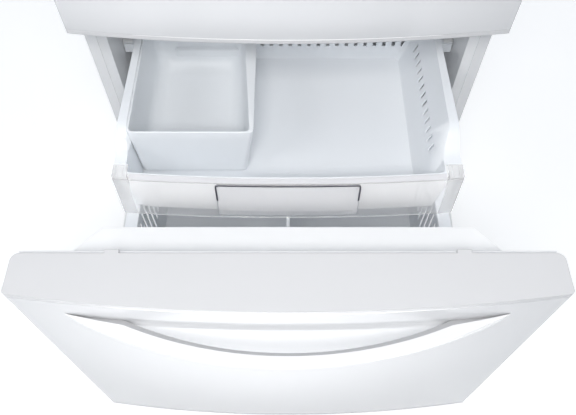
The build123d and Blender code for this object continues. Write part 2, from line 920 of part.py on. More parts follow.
inner_half = slide_outer_half - 2 * member_step
carrier_back = drawer_back
carrier_tab_low = (slide_bottom + slide_top - carrier_tab_height) / 2
carrier_tab_z = (carrier_tab_low, carrier_tab_low + carrier_tab_height)
basket_y = (drawer_shift + basket_front, evaporator_cover_y - basket_rear_gap - drawer_open)
with BuildPart() as drawer_carriers:
    for side in (-1, 1):
        inner_y = shifted(drawer_open)
        block(
            sorted((side * inner_half, side * (inner_half - slide_bar))),
            inner_y,
            (slide_bottom + 2 * member_step, slide_top - 2 * member_step),
        )
        carrier_x = sorted((side * carrier_half, side * (carrier_half - carrier_sheet)))
        carrier_y = (carrier_back + carrier_start, basket_y[1])
        block(carrier_x, carrier_y, (slide_bottom, basket_rim - basket_wall - seat))
        block(
            sorted((side * (carrier_half - carrier_sheet), side * (inner_half - slide_bar))),
            (carrier_back + carrier_start, inner_y[1]),
            (slide_bottom + slide_height / 3, slide_top - slide_height / 3),
        )
        tab_x = sorted((side * carrier_half, side * (carrier_half + carrier_tab_width)))
        block(
            [x + side * carrier_sheet for x in tab_x],
            (carrier_back, carrier_back + carrier_sheet),
            carrier_tab_z,
        )
        block(
            sorted((side * inner_half, side * (inner_half - slide_bar))),
            (carrier_back, inner_y[0]),
            (slide_bottom + 2 * member_step, slide_top - 2 * member_step),
        )

# ---------------------------------------------------------------- tray rails

rail_z = (runner_bottom - slide_clearance - rail_sheet, runner_bottom + runner_height + slide_clearance + rail_sheet)
with BuildPart() as tray_rails:
    for side in (-1, 1):
        channel(
            cavity_half,
            cavity_half - rail_depth,
            rail_z[0],
            rail_z[1],
            rail_sheet,
            (case_front + rail_start, evaporator_cover_y - seat),
            side,
        )

# ---------------------------------------------------------------- doors

hinge_tab = door_gap / 2 - hinge_tab_clearance
with BuildPart() as door_hinges:
    block(
        (hinge_x - 5 * hinge_inset_x, hinge_x + hinge_inset_x / 2),
        (hinge_y - hinge_inset_x, case_front + 2 * leg_inset_y),
        (case_top, case_top + hinge_sheet),
    )
    round_bar((hinge_x, hinge_y), pin_radius, (fresh_door_top - cap_height + seat, case_top))
    block(
        (hinge_x - 3 * hinge_inset_x, case_half - seat),
        (case_front - case_sheet - cap_edge_radius, case_front),
        (gap_middle - hinge_tab, gap_middle + hinge_tab),
    )
    block(
        (hinge_x - hinge_inset_x, case_half - seat),
        (hinge_y - hinge_inset_x, case_front),
        (gap_middle - hinge_sheet / 2, gap_middle + hinge_sheet / 2),
    )
    round_bar((hinge_x, hinge_y), pin_radius, (gap_middle, fresh_door_bottom + cap_height - seat))

with BuildPart() as top_hinge_cover:
    cover_x = (hinge_x - 6 * hinge_inset_x, hinge_x + hinge_inset_x - seat)
    cover_span = (hinge_y - 2 * hinge_inset_x, case_front + 2 * leg_inset_y + hinge_inset_x)
    cover_z = (case_top + seat / 2, case_top + hinge_cover_height)
    block(cover_x, cover_span, cover_z)
    fillet(top_hinge_cover.edges().filter_by(Axis.Z), hinge_inset_x)
    fillet(top_hinge_cover.faces().sort_by(Axis.Z)[-1].edges(), hinge_sheet)
    block(
        (cover_x[0] + hinge_cover_wall, cover_x[1] - hinge_cover_wall),
        (cover_span[0] + hinge_cover_wall, cover_span[1] - hinge_cover_wall),
        (cover_z[0], cover_z[1] - hinge_cover_wall),
        Mode.SUBTRACT,
    )


def door_skin(back, bottom, top):
    """Folded outer sheet of a door, open at its ends and behind."""
    with BuildPart() as skin:
        door_panel(back, bottom + cap_height, top - cap_height)
        door_panel(back, bottom + cap_height, top - cap_height, door_sheet, Mode.SUBTRACT)
        window = case_half - door_return
        block(
            (-window, window),
            (back - 2 * door_sheet, back),
            (bottom + cap_height, top - cap_height),
            Mode.SUBTRACT,
        )
    return skin


def ridge_depths(back, depth, sheet):
    """Y of the near and far end of a ridge's outer or inner skin."""
    return (back - liner_sheet, back + depth - sheet)


drawer_ridge = (
    flange_edge - drawer_ridge_inset,
    freezer_floor + fresh_ridge_clearance,
    drawer_top - drawer_ridge_drop,
    drawer_ridge_depth,
    drawer_ridge_slope_x,
    drawer_ridge_slope_z,
)
fresh_ridge_half = flange_edge - fresh_ridge_inset
fresh_ridge = (
    fresh_ridge_half,
    fresh_floor + fresh_ridge_clearance,
    fresh_ceiling - fresh_ridge_clearance,
    fresh_ridge_depth,
    fresh_ridge_slope,
    fresh_ridge_slope,
)


def ridge_body(back, ridge, sheet, mode=Mode.ADD):
    """Sloping body of the raised ridge, pulled in by sheet."""
    half, low, high, depth, slope_x, slope_z = ridge
    near, far = ridge_depths(back, depth, sheet)
    frustum(
        (near, half - sheet, low + sheet, high - sheet),
        (far, half - slope_x - sheet, low + slope_z + sheet, high - slope_z - sheet),
        mode,
    )


def ridge_pocket(back, ridge, rim, depth, sheet, mode=Mode.ADD):
    """Recess inside the ridge, grown by sheet, from its crest down by depth."""
    half, low, high, ridge_depth, slope_x, slope_z = ridge
    crest = back + ridge_depth
    pocket_half = half - slope_x - rim + sheet
    block(
        (-pocket_half, pocket_half),
        (crest - depth - sheet, crest),
        (low + slope_z + rim - sheet, high - slope_z - rim + sheet),
        mode,
    )


def door_liner(back, bottom, top, ridge, rim, pocket_depth):
    """Thin inner face of a door with its raised ridge and recess."""
    window = case_half - door_return - seat
    with BuildPart() as liner:
        block(
            (-window, window),
            (back - liner_sheet, back),
            (bottom + cap_height, top - cap_height),
        )
        ridge_body(back, ridge, 0)
        ridge_body(back, ridge, liner_sheet, Mode.SUBTRACT)
        ridge_pocket(back, ridge, rim, pocket_depth, liner_sheet)
        ridge_pocket(back, ridge, rim, pocket_depth, 0, Mode.SUBTRACT)
    return liner


def door_foam(back, bottom, top, ridge, rim, pocket_depth):
    """Insulation between the skin and the liner of a door."""
    with BuildPart() as foam:
        door_panel(back, bottom + cap_height, top - cap_height, door_sheet)
        block(
            (-case_half, case_half),
            (back - liner_sheet, back),
            (bottom, top),
            Mode.SUBTRACT,
        )
        ridge_body(back, ridge, liner_sheet)
        ridge_pocket(back, ridge, rim, pocket_depth, liner_sheet, Mode.SUBTRACT)
    return foam


def end_cap(back, low):
    """Moulded end of a door."""
    door_panel(back, low, low + cap_height)


fresh_pocket_depth = fresh_ridge_depth

fresh_door_skin = door_skin(fresh_door_back, fresh_door_bottom, fresh_door_top)
fresh_door_liner = door_liner(
    fresh_door_back, fresh_door_bottom, fresh_door_top, fresh_ridge, fresh_ridge_crest, fresh_pocket_depth
)
fresh_door_foam = door_foam(
    fresh_door_back, fresh_door_bottom, fresh_door_top, fresh_ridge, fresh_ridge_crest, fresh_pocket_depth
)

with BuildPart() as fresh_door_caps:
    end_cap(fresh_door_back, fresh_door_bottom)
    end_cap(fresh_door_back, fresh_door_top - cap_height)
    round_bar(
        (hinge_x, hinge_y),
        pin_radius + running_fit,
        (fresh_door_bottom, fresh_door_top),
        Mode.SUBTRACT,
    )

with BuildPart() as fresh_door_gasket:
    gasket_ring(fresh_door_back, fresh_door_bottom, fresh_door_top)


def carrier_recess(grow, mode=Mode.ADD):
    """Room in the sides of the drawer's ridge for the carriers, grown by the liner's sheet."""
    inner = carrier_half - carrier_sheet - carrier_recess_gap - grow
    for side in (-1, 1):
        block(
            sorted((side * inner, side * case_half)),
            (drawer_back - grow, drawer_back + drawer_ridge_depth),
            (carrier_tab_z[0] - carrier_recess_gap - grow, carrier_tab_z[1] + carrier_recess_gap + grow),
            mode,
        )


drawer_skin = door_skin(drawer_back, drawer_bottom, drawer_top)
drawer_panel = (drawer_back, drawer_bottom, drawer_top, drawer_ridge, drawer_pocket_rim, drawer_pocket_depth)

with BuildPart() as recess_walls:
    carrier_recess(liner_sheet)
    ridge_body(drawer_back, drawer_ridge, 0, Mode.INTERSECT)

with BuildPart() as drawer_liner:
    add(door_liner(*drawer_panel).part)
    add(recess_walls.part)
    carrier_recess(0, Mode.SUBTRACT)

with BuildPart() as drawer_foam:
    add(door_foam(*drawer_panel).part)
    carrier_recess(liner_sheet, Mode.SUBTRACT)

with BuildPart() as drawer_caps:
    end_cap(drawer_back, drawer_bottom)
    end_cap(drawer_back, drawer_top - cap_height)
    cap_tab_offset = case_half - cap_tab_inset
    for side in (-1, 1):
        tab_x = (side * cap_tab_offset - cap_tab_width / 2, side * cap_tab_offset + cap_tab_width / 2)
        block(tab_x, (drawer_back, drawer_back + gasket_gap - seat), (drawer_top - gasket_inset_z + seat, drawer_top))

with BuildPart() as drawer_gasket:
    gasket_ring(drawer_back, drawer_bottom, drawer_top)

# ---------------------------------------------------------------- handles


def face_y(back, x):
    """Y of a door's front face at x."""
    crown = back - door_thickness - door_bow
    return crown + bow_radius - math.sqrt(bow_radius**2 - x**2)


def outer_edges(handle):
    """The two long front edges of a handle."""
    return handle.edges().filter_by(GeomType.CIRCLE).sort_by(SortBy.LENGTH)[-2:]


with BuildPart() as drawer_handle:
    handle_top = drawer_top - handle_drop
    bow_y = face_y(drawer_back, 0) - handle_standoff
    crescent(
        Plane.XY.offset(handle_top - handle_height),
        face_y(drawer_back, handle_half_span) - handle_tip_depth,
        bow_y,
        face_y(drawer_back, handle_half_span - handle_root),
        bow_y + handle_depth,
    )
    fillet(outer_edges(drawer_handle), handle_edge_radius)
    door_panel(drawer_back, drawer_bottom, drawer_top, -seat, Mode.SUBTRACT)

fresh_handle_x = fresh_handle_inset - case_half
fresh_handle_middle = fresh_door_bottom + fresh_handle_rise + handle_half_span
with BuildPart() as fresh_door_handle:
    root_y = face_y(fresh_door_back, fresh_handle_x - handle_height / 2)
    stand_y = face_y(fresh_door_back, fresh_handle_x + handle_height / 2)
    handle_plane = Plane(
        origin=(fresh_handle_x - handle_height / 2, 0, fresh_handle_middle),
        x_dir=(0, 0, -1),
        z_dir=(1, 0, 0),
    )
    crescent(
        handle_plane,
        stand_y - handle_tip_depth,
        stand_y - handle_standoff - handle_depth,
        root_y,
        stand_y - handle_standoff,
    )
    fillet(outer_edges(fresh_door_handle), handle_edge_radius)
    door_panel(fresh_door_back, fresh_door_bottom, fresh_door_top, -seat, Mode.SUBTRACT)

# ---------------------------------------------------------------- tray


def bowed_plan(half, mid, bow, rear, z, corner=0):
    """Outline with a bowed front at height z, its two front corners rounded."""
    with BuildSketch(Plane.XY.offset(z)) as plan:
        with BuildLine():
            ThreePointArc((-half, mid + bow), (0, mid), (half, mid + bow))
            Line((half, mid + bow), (half, rear))
            Line((half, rear), (-half, rear))
            Line((-half, rear), (-half, mid + bow))
        make_face()
        if corner:
            fillet(plan.vertices().group_by(Axis.Y)[0], corner)
    return plan.sketch


def bowed_body(half, mid, bow, rear, z, lean=0, corner=0):
    """Prism on a bowed plan between two heights, its front set back by lean at the top."""
    low = bowed_plan(half, mid, bow, rear, z[0], corner)
    if lean == 0:
        return extrude(low, amount=z[1] - z[0], mode=Mode.PRIVATE)
    high = bowed_plan(half, mid + lean, bow, rear, z[1], corner)
    return loft([low, high], mode=Mode.PRIVATE)


def rim_run(offset):
    """Line of the rim in Y and Z, stepping down in an S towards the front."""
    front_y = tray_shift + tray_slope_front
    rear_y = tray_shift + tray_slope_rear
    turn_y = (front_y + rear_y) / 2
    Line((rim_front, tray_front_top - offset), (front_y, tray_front_top - offset))
    Bezier(
        (front_y, tray_front_top - offset),
        (turn_y, tray_front_top - offset),
        (turn_y, tray_rim - offset),
        (rear_y, tray_rim - offset),
    )
    Line((rear_y, tray_rim - offset), (tray_rear_y, tray_rim - offset))


tray_mid_y = tray_shift + tray_front_mid
tray_rear_y = evaporator_cover_y - tray_rear_gap - tray_open
tray_outline = [
    (-tray_top_half - tray_wall, tray_rim),
    (-tray_left_bottom_half - tray_wall, tray_floor - tray_wall),
    (tray_right_bottom_half + tray_wall, tray_floor - tray_wall),
    (tray_top_half + tray_wall, tray_rim),
]
tray_hollow_outline = [
    (-tray_top_half, tray_rim),
    (-tray_left_bottom_half, tray_floor),
    (tray_right_bottom_half, tray_floor),
    (tray_top_half, tray_rim),
]
tray_height = (tray_floor - tray_wall, tray_rim)

with BuildPart() as tray_hollow:
    front_profile(tray_hollow_outline, (tray_mid_y, tray_rear_y - tray_wall))
    add(
        bowed_body(tray_rim_half, tray_mid_y + tray_wall, tray_front_bow, tray_rear_y, tray_height),
        mode=Mode.INTERSECT,
    )

rim_front = tray_shift + cover_rear + seat
with BuildPart() as tray_rims:
    with BuildSketch(Plane.YZ) as strip:
        with BuildLine():
            rim_run(0)
            Line((tray_rear_y, tray_rim), (tray_rear_y, tray_rim - tray_wall))
            rim_run(tray_wall)
            Line((rim_front, tray_front_top - tray_wall), (rim_front, tray_front_top))
        make_face()
    extrude(strip.sketch, amount=tray_rim_half + tray_flare_front, both=True)
    with BuildSketch(Plane.XY.offset(tray_floor)) as plan:
        flare = [
            (tray_rim_half - tray_flare_rear, tray_rear_y),
            (tray_rim_half + tray_flare_middle, tray_shift + tray_slope_rear),
            (tray_rim_half + tray_flare_front, tray_shift + tray_slope_front),
            (tray_rim_half + tray_flare_front, rim_front),
        ]
        with BuildLine():
            Polyline(*flare, *[(-x, y) for x, y in reversed(flare)], close=True)
        make_face()
    extrude(plan.sketch, amount=tray_depth, mode=Mode.INTERSECT)

with BuildPart() as freezer_tray:
    front_profile(tray_outline, (tray_mid_y, tray_rear_y))
    add(
        bowed_body(tray_rim_half, tray_mid_y, tray_front_bow, tray_rear_y, tray_height),
        mode=Mode.INTERSECT,
    )
    add(tray_hollow.part, mode=Mode.SUBTRACT)
    with BuildSketch(Plane.YZ) as above:
        with BuildLine():
            rim_run(0)
            Polyline(
                (tray_rear_y, tray_rim),
                (tray_rear_y, tray_rim + tray_wall),
                (tray_mid_y - tray_wall, tray_rim + tray_wall),
                (tray_mid_y - tray_wall, tray_front_top),
                (rim_front, tray_front_top),
            )
        make_face()
    extrude(above.sketch, amount=tray_rim_half, both=True, mode=Mode.SUBTRACT)
    add(tray_rims.part)
    for side in (-1, 1):
        block(
            sorted((side * tray_right_bottom_half, side * (cavity_half - rail_sheet - slide_clearance))),
            (tray_rear_y - runner_length, tray_rear_y),
            (runner_bottom, runner_bottom + runner_height),
        )
    add(tray_hollow.part, mode=Mode.SUBTRACT)
    for slot in range(tray_slot_count):
        slot_x = tray_top_half - tray_slot_inset - slot * tray_slot_pitch
        block(
            (slot_x - tray_slot_width / 2, slot_x + tray_slot_width / 2),
            (tray_rear_y - tray_wall, tray_rear_y),
            (tray_floor + tray_slot_rise, tray_rim - tray_slot_top_gap),
            Mode.SUBTRACT,
        )
    for slot in range(side_slot_count):
        slot_y = tray_shift + side_slot_front + slot * side_slot_pitch
        if slot_y < tray_rear_y - tray_slot_width:
            block(
                (tray_right_bottom_half, tray_rim_half),
                (slot_y - tray_slot_width / 2, slot_y + tray_slot_width / 2),
                (tray_floor + side_slot_rise, tray_floor + side_slot_rise + side_slot_height),
                Mode.SUBTRACT,
            )

cover_half = tray_rim_half + cover_flare
cover_bottom = tray_floor - cover_drop
cover_mid_y = tray_shift + cover_mid
cover_rear_y = tray_shift + cover_rear
grip_top = tray_front_top - grip_top_gap
grip_bottom = grip_top - grip_height
cover_height = (cover_bottom, tray_front_top)


def cover_body(grow, top):
    """Body of the clear front with its face moved forwards by grow, up to a height."""
    return bowed_body(
        cover_half + grow,
        cover_mid_y - grow,
        cover_bow,
        cover_rear_y,
        (cover_bottom, top),
        cover_lean * (top - cover_bottom) / (tray_front_top - cover_bottom),
        cover_corner,
    )


with BuildPart() as tray_front:
    add(cover_body(0, tray_front_top))
    add(cover_body(-cover_wall, tray_front_top - cover_wall), mode=Mode.SUBTRACT)
    add(
        bowed_body(tray_rim_half, tray_mid_y - seat, tray_front_bow, cover_rear_y, cover_height),
        mode=Mode.SUBTRACT,
    )

with BuildPart() as tray_grip:
    add(cover_body(grip_thickness + seat, tray_front_top))
    add(cover_body(seat, tray_front_top), mode=Mode.SUBTRACT)
    with BuildSketch(Plane.XZ) as plate:
        with Locations((0, (grip_bottom + grip_top) / 2)):
            RectangleRounded(2 * grip_half, grip_height, grip_corner)
    extrude(plate.sketch, amount=2 * grip_thickness - cover_mid_y, mode=Mode.INTERSECT)

bin_left = bin_side_gap - tray_top_half
bin_right = bin_left + bin_width
bin_bottom_left = bin_left + bin_left_draft
bin_bottom_right = bin_right - bin_right_draft
bin_rim = tray_rim - bin_rim_drop

with BuildPart() as ice_bin:
    bin_floor = tray_floor + seat
    bin_y = (tray_shift + bin_front, tray_rear_y - bin_rear_gap)
    tub(
        (bin_rim, bin_left, bin_right, bin_y[0], bin_y[1]),
        (bin_floor, bin_bottom_left, bin_bottom_right, bin_y[0] + bin_rim_front, bin_y[1] - bin_rim_front),
    )
    fillet(ice_bin.edges().filter_by(GeomType.LINE).group_by(SortBy.LENGTH)[0], bin_corner)
    with BuildSketch(Plane.XY.offset(bin_rim)) as mouth:
        with BuildLine():
            Polyline(
                (bin_left + bin_rim_front, bin_y[0] + bin_rim_front),
                (bin_right - bin_rim_right_front, bin_y[0] + bin_rim_front),
                (bin_right - bin_rim_right_rear, bin_y[1] - bin_rim_front),
                (bin_left + bin_rim_front, bin_y[1] - bin_rim_front),
                close=True,
            )
        make_face()
    extrude(mouth.sketch, amount=-bin_rim_height, mode=Mode.SUBTRACT)
    tub(
        (
            bin_rim - bin_rim_height,
            bin_left + bin_wall,
            bin_right - bin_wall,
            bin_y[0] + bin_wall,
            bin_y[1] - bin_wall,
        ),
        (
            bin_floor + bin_wall,
            bin_bottom_left + bin_wall,
            bin_bottom_right - bin_wall,
            bin_y[0] + bin_rim_front + bin_wall,
            bin_y[1] - bin_rim_front - bin_wall,
        ),
        Mode.SUBTRACT,
    )

# ---------------------------------------------------------------- basket

step_y = hump_front - basket_hump_gap - drawer_open
basket_slot_pitch = (step_y - basket_y[0]) / (basket_slot_count + 2)


def basket_body(grow, top, mode=Mode.ADD):
    """Stepped body of the basket, grown outwards."""
    side_profile(
        [
            (basket_y[0] - grow, top),
            (basket_y[0] - grow, basket_bottom + basket_wall - grow),
            (step_y - 2 * basket_wall + grow, basket_bottom + basket_wall - grow),
            (step_y - 2 * basket_wall + grow, basket_step_bottom + basket_wall - grow),
            (basket_y[1] - 2 * basket_wall + grow, basket_step_bottom + basket_wall - grow),
            (basket_y[1] - 2 * basket_wall + grow, top),
        ],
        (-basket_half + basket_wall - grow, basket_half - basket_wall + grow),
        mode,
    )


with BuildPart() as freezer_basket:
    basket_body(basket_wall, basket_rim)
    block(
        (-basket_rim_half, basket_rim_half),
        (basket_y[0] - basket_wall, basket_y[1]),
        (basket_rim - basket_wall, basket_rim),
    )
    basket_body(0, basket_rim, Mode.SUBTRACT)
    for slot in range(basket_slot_count):
        slot_y = basket_y[0] + basket_slot_pitch * (slot + 1)
        block(
            (-basket_half, basket_half),
            (slot_y - basket_slot_width / 2, slot_y + basket_slot_width / 2),
            (basket_bottom + basket_slot_rise, basket_rim - basket_slot_top_gap),
            Mode.SUBTRACT,
        )

with BuildPart() as basket_divider:
    block(
        (-divider_thickness / 2, divider_thickness / 2),
        (basket_y[0] + divider_clearance, step_y - 2 * basket_wall - divider_clearance),
        (basket_bottom + basket_wall + seat, basket_rim),
    )
    block(
        (-divider_thickness / 4, divider_thickness / 4),
        (basket_y[0] + 8 * divider_clearance, step_y - 10 * divider_clearance),
        (basket_bottom + 10 * divider_clearance, basket_rim - 8 * divider_clearance),
        Mode.SUBTRACT,
    )

# ---------------------------------------------------------------- fresh compartment

track_y = (cavity_rear - track_depth, cavity_rear)
track_places = [side * half for side in (-1, 1) for half in (track_half_inner, track_half_outer)]

with BuildPart() as shelf_tracks:
    for place in track_places:
        block((place - track_width / 2, place + track_width / 2), track_y, (track_bottom, track_top))
    with BuildSketch(Plane.XZ.offset(-track_y[0] - track_depth / 2)) as holes:
        rows = int((track_top - track_bottom - track_slot_pitch) // track_slot_pitch)
        for place in track_places:
            with Locations((place, (track_bottom + track_top) / 2)):
                with GridLocations(track_slot_pitch, track_slot_pitch, 1, rows):
                    Rectangle(track_slot_width, track_slot_height)
    extrude(holes.sketch, amount=track_depth / 2, mode=Mode.SUBTRACT)

shelf_y = (case_front + shelf_front, track_y[0] - seat)
shelf_x = [sorted((side * track_half_inner, side * track_half_outer)) for side in (-1, 1)]

with BuildPart() as shelf_frames:
    for level in shelf_levels:
        for low_x, high_x in shelf_x:
            for place in (low_x, high_x):
                side_profile(
                    [
                        (shelf_y[0], level),
                        (shelf_y[1], level),
                        (shelf_y[1], level - shelf_drop),
                        (shelf_y[0], level - shelf_trim_height),
                    ],
                    (place - shelf_rail / 2, place + shelf_rail / 2),
                )
            for start in (shelf_y[0], shelf_y[1] - shelf_trim_depth):
                block(
                    (low_x, high_x),
                    (start, start + shelf_trim_depth),
                    (level - shelf_trim_height, level),
                )
    block((seat - cavity_half, cavity_half - seat), (cover_front_y, cavity_rear - seat), (cover_low, cover_level))
    block(
        (seat - cavity_half + crisper_cover_height, cavity_half - seat - crisper_cover_height),
        (cover_front_y + crisper_cover_height, cavity_rear - seat - crisper_cover_height),
        (cover_low, cover_level),
        Mode.SUBTRACT,
    )
    for side in (-1, 1):
        block(
            (side * humidity_offset - 1.5 * humidity_width, side * humidity_offset + 1.5 * humidity_width),
            (cover_front_y, cover_front_y + humidity_depth / 2),
            (cover_middle - humidity_height / 2, cover_middle + humidity_height / 2),
            Mode.SUBTRACT,
        )

with BuildPart() as shelf_glass:
    for level in shelf_levels:
        for low_x, high_x in shelf_x:
            block((low_x, high_x), shelf_y, (level + seat, level + seat + shelf_glass_thickness))
    block(
        (2 * seat - cavity_half, cavity_half - 2 * seat),
        (cover_front_y, cavity_rear - 2 * seat),
        (cover_level + seat, cover_level + seat + shelf_glass_thickness),
    )


def crisper(side):
    """Open-topped drawer on the floor of the fresh compartment."""
    x = sorted((side * crisper_gap / 2, side * (cavity_half - crisper_gap)))
    y = (case_front + crisper_front, cavity_rear - crisper_rear_gap)
    z = (fresh_floor + seat, fresh_floor + seat + crisper_height)
    with BuildPart() as drawer:
        block(x, y, z)
        fillet(drawer.edges().filter_by(Axis.Z), crisper_gap)
        block(
            (x[0] + crisper_wall, x[1] - crisper_wall),
            (y[0] + 2 * crisper_wall, y[1] - crisper_wall),
            (z[0] + crisper_wall, z[1]),
            Mode.SUBTRACT,
        )
    return drawer


crisper_left = crisper(-1)
crisper_right = crisper(1)


def humidity_slider(side):
    """Thumb slider in the front rail over a crisper."""
    with BuildPart() as slider:
        block(
            (side * humidity_offset - humidity_width / 2, side * humidity_offset + humidity_width / 2),
            (cover_front_y - humidity_depth / 2, cover_front_y + humidity_depth / 2 - seat),
            (cover_middle - humidity_height / 2 + seat, cover_middle + humidity_height / 2 - seat),
        )
        fillet(slider.edges().filter_by(Axis.Y), 2 * seat)
    return slider


humidity_left = humidity_slider(-1)
humidity_right = humidity_slider(1)

with BuildPart() as air_duct_cover:
    block((-duct_half, duct_half), (cavity_rear - duct_depth, cavity_rear), (duct_bottom, duct_top))
    fillet(air_duct_cover.edges().filter_by(Axis.Z).group_by(Axis.Y)[0], duct_depth / 2)
    with BuildSketch(Plane.XZ.offset(-cavity_rear)) as hollow:
        with Locations((0, (duct_bottom + duct_top) / 2)):
            Rectangle(2 * (duct_half - duct_depth), duct_top - duct_bottom - 2 * duct_depth)
    extrude(hollow.sketch, amount=duct_depth - liner_sheet, mode=Mode.SUBTRACT)
    with BuildSketch(Plane.XZ.offset(-cavity_rear)) as vents:
        with Locations((0, (duct_bottom + duct_top) / 2)):
            with GridLocations(duct_slot_pitch, duct_slot_pitch, 1, duct_slot_count):
                SlotOverall(duct_slot_width, duct_depth)
    extrude(vents.sketch, amount=duct_depth, mode=Mode.SUBTRACT)

button_z = fresh_ceiling - control_height / 2
control_y = (case_front + control_front, case_front + control_rear)
button_places = (-button_pitch / 2, button_pitch / 2)

with BuildPart() as control_housing:
    block((-control_half, control_half), control_y, (control_bottom, fresh_ceiling))
    fillet(control_housing.edges().filter_by(Axis.X).group_by(Axis.Z)[0], control_wall)
    block(
        (control_wall - control_half, control_half - control_wall),
        (control_y[0] + 2 * button_depth, control_y[1] - control_wall),
        (control_bottom + control_wall, fresh_ceiling),
        Mode.SUBTRACT,
    )
    for place in button_places:
        depth_bar(
            (place, button_z),
            button_radius + seat,
            (control_y[0], control_y[0] + button_depth + button_proud),
            Mode.SUBTRACT,
        )
    block(
        (-lens_half, lens_half),
        (case_front + lens_front, case_front + lens_rear),
        (control_bottom, control_bottom + control_wall),
        Mode.SUBTRACT,
    )


def push_button(place):
    """Round button in the front of the control housing."""
    with BuildPart() as button:
        depth_bar(
            (place, button_z),
            button_radius,
            (control_y[0] - button_proud, control_y[0] + button_depth),
        )
        fillet(button.edges().group_by(Axis.Y)[0], button_proud / 4)
    return button


button_fridge, button_freezer = [push_button(place) for place in button_places]

with BuildPart() as lamp_lens:
    block(
        (seat - lens_half, lens_half - seat),
        (case_front + lens_front + seat, case_front + lens_rear - seat),
        (control_bottom - lens_thickness / 2, control_bottom + lens_thickness / 2),
    )

# ---------------------------------------------------------------- inside of the upper door

pocket_half = fresh_ridge_half - fresh_ridge_slope - fresh_ridge_crest
bin_x = (seat - pocket_half, pocket_half - seat)
bin_depths = (fresh_door_back + seat, fresh_door_back + door_bin_depth)
dairy_top = fresh_ceiling - fresh_ridge_clearance - fresh_ridge_slope - fresh_ridge_crest - dairy_headroom
dairy_bottom = dairy_top - dairy_height
lowest_bin = fresh_floor + door_bin_rise
bin_pitch = (dairy_bottom - lowest_bin) / door_bin_count
bin_levels = [lowest_bin + bin_pitch * shelf for shelf in range(door_bin_count)]

with BuildPart() as door_bins:
    for level in bin_levels + [dairy_bottom]:
        top = dairy_top if level == dairy_bottom else level + door_bin_height
        block(bin_x, bin_depths, (level, top))
        block(
            (bin_x[0] + door_bin_wall, bin_x[1] - door_bin_wall),
            (bin_depths[0] + door_bin_wall, bin_depths[1] - door_bin_wall),
            (level + door_bin_wall, top),
            Mode.SUBTRACT,
        )

lid_axis = (bin_depths[0] + 2 * dairy_pin_radius, dairy_top + 2 * dairy_pin_radius)
with BuildPart() as dairy_lid:
    lid_z = dairy_top + seat
    block(
        (bin_x[0] + door_bin_wall, bin_x[1] - door_bin_wall),
        (bin_depths[0] + 2 * dairy_pin_radius, bin_depths[1] + dairy_lid_sheet + seat),
        (lid_z + dairy_pin_radius, lid_z + dairy_pin_radius + dairy_lid_sheet),
    )
    block(
        (bin_x[0] + door_bin_wall, bin_x[1] - door_bin_wall),
        (bin_depths[1] + seat, bin_depths[1] + seat + dairy_lid_sheet),
        (lid_z - dairy_lid_lip, lid_z + dairy_pin_radius),
    )
    cross_bar(lid_axis, dairy_pin_radius, (bin_x[0] + door_bin_wall, bin_x[1] - door_bin_wall))

# ---------------------------------------------------------------- labels and files

pieces = {
    "cabinet_shell": cabinet_shell,
    "rear_panel": rear_panel,
    "mullion_rail": mullion_rail,
    "cabinet_foam": cabinet_foam,
    "fresh_liner": fresh_liner,
    "freezer_liner": freezer_liner,
    "base_frame": base_frame,
    "leg_left": leg_left,
    "leg_right": leg_right,
    "rear_rollers": rear_rollers,
    "toe_grille": toe_grille,
    "machine_cover": machine_cover,
    "compressor": compressor,
    "compressor_mounts": compressor_mounts,
    "condenser_coil": condenser_coil,
    "drain_pan": drain_pan,
    "condenser_fan_frame": condenser_fan_frame,
    "condenser_fan_blade": condenser_fan_blade,
    "evaporator_cover": evaporator_cover,
    "evaporator_coil": evaporator_coil,
    "evaporator_fan_motor": evaporator_fan_motor,
    "evaporator_fan_blade": evaporator_fan_blade,
    "slide_channels": slide_channels,
    "slide_middles": slide_middles,
    "drawer_carriers": drawer_carriers,
    "tray_rails": tray_rails,
    "door_hinges": door_hinges,
    "top_hinge_cover": top_hinge_cover,
    "fresh_door_skin": fresh_door_skin,
    "fresh_door_caps": fresh_door_caps,
    "fresh_door_foam": fresh_door_foam,
    "fresh_door_liner": fresh_door_liner,
    "fresh_door_gasket": fresh_door_gasket,
    "fresh_door_handle": fresh_door_handle,
    "drawer_skin": drawer_skin,
    "drawer_caps": drawer_caps,
    "drawer_foam": drawer_foam,
    "drawer_liner": drawer_liner,
    "drawer_gasket": drawer_gasket,
    "drawer_handle": drawer_handle,
    "freezer_tray": freezer_tray,
    "tray_front": tray_front,
    "tray_grip": tray_grip,
    "ice_bin": ice_bin,
    "freezer_basket": freezer_basket,
    "basket_divider": basket_divider,
    "shelf_tracks": shelf_tracks,
    "shelf_frames": shelf_frames,
    "shelf_glass": shelf_glass,
    "crisper_left": crisper_left,
    "crisper_right": crisper_right,
    "humidity_left": humidity_left,
    "humidity_right": humidity_right,
    "air_duct_cover": air_duct_cover,
    "control_housing": control_housing,
    "button_fridge": button_fridge,
    "button_freezer": button_freezer,
    "lamp_lens": lamp_lens,
    "door_bins": door_bins,
    "dairy_lid": dairy_lid,
}

os.makedirs("parts", exist_ok=True)
for label, piece in pieces.items():
    piece.part.label = label
    export_step(piece.part, f"parts/{label}.step")
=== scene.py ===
"""Looks of a white bottom freezer refrigerator with its freezer drawer and tray pulled out."""

import json
import logging
import math
from dataclasses import dataclass, field
from enum import Enum
from typing import Callable, Dict, List, Optional, Sequence, Tuple

import bmesh
import bpy
from mathutils import Matrix, Vector


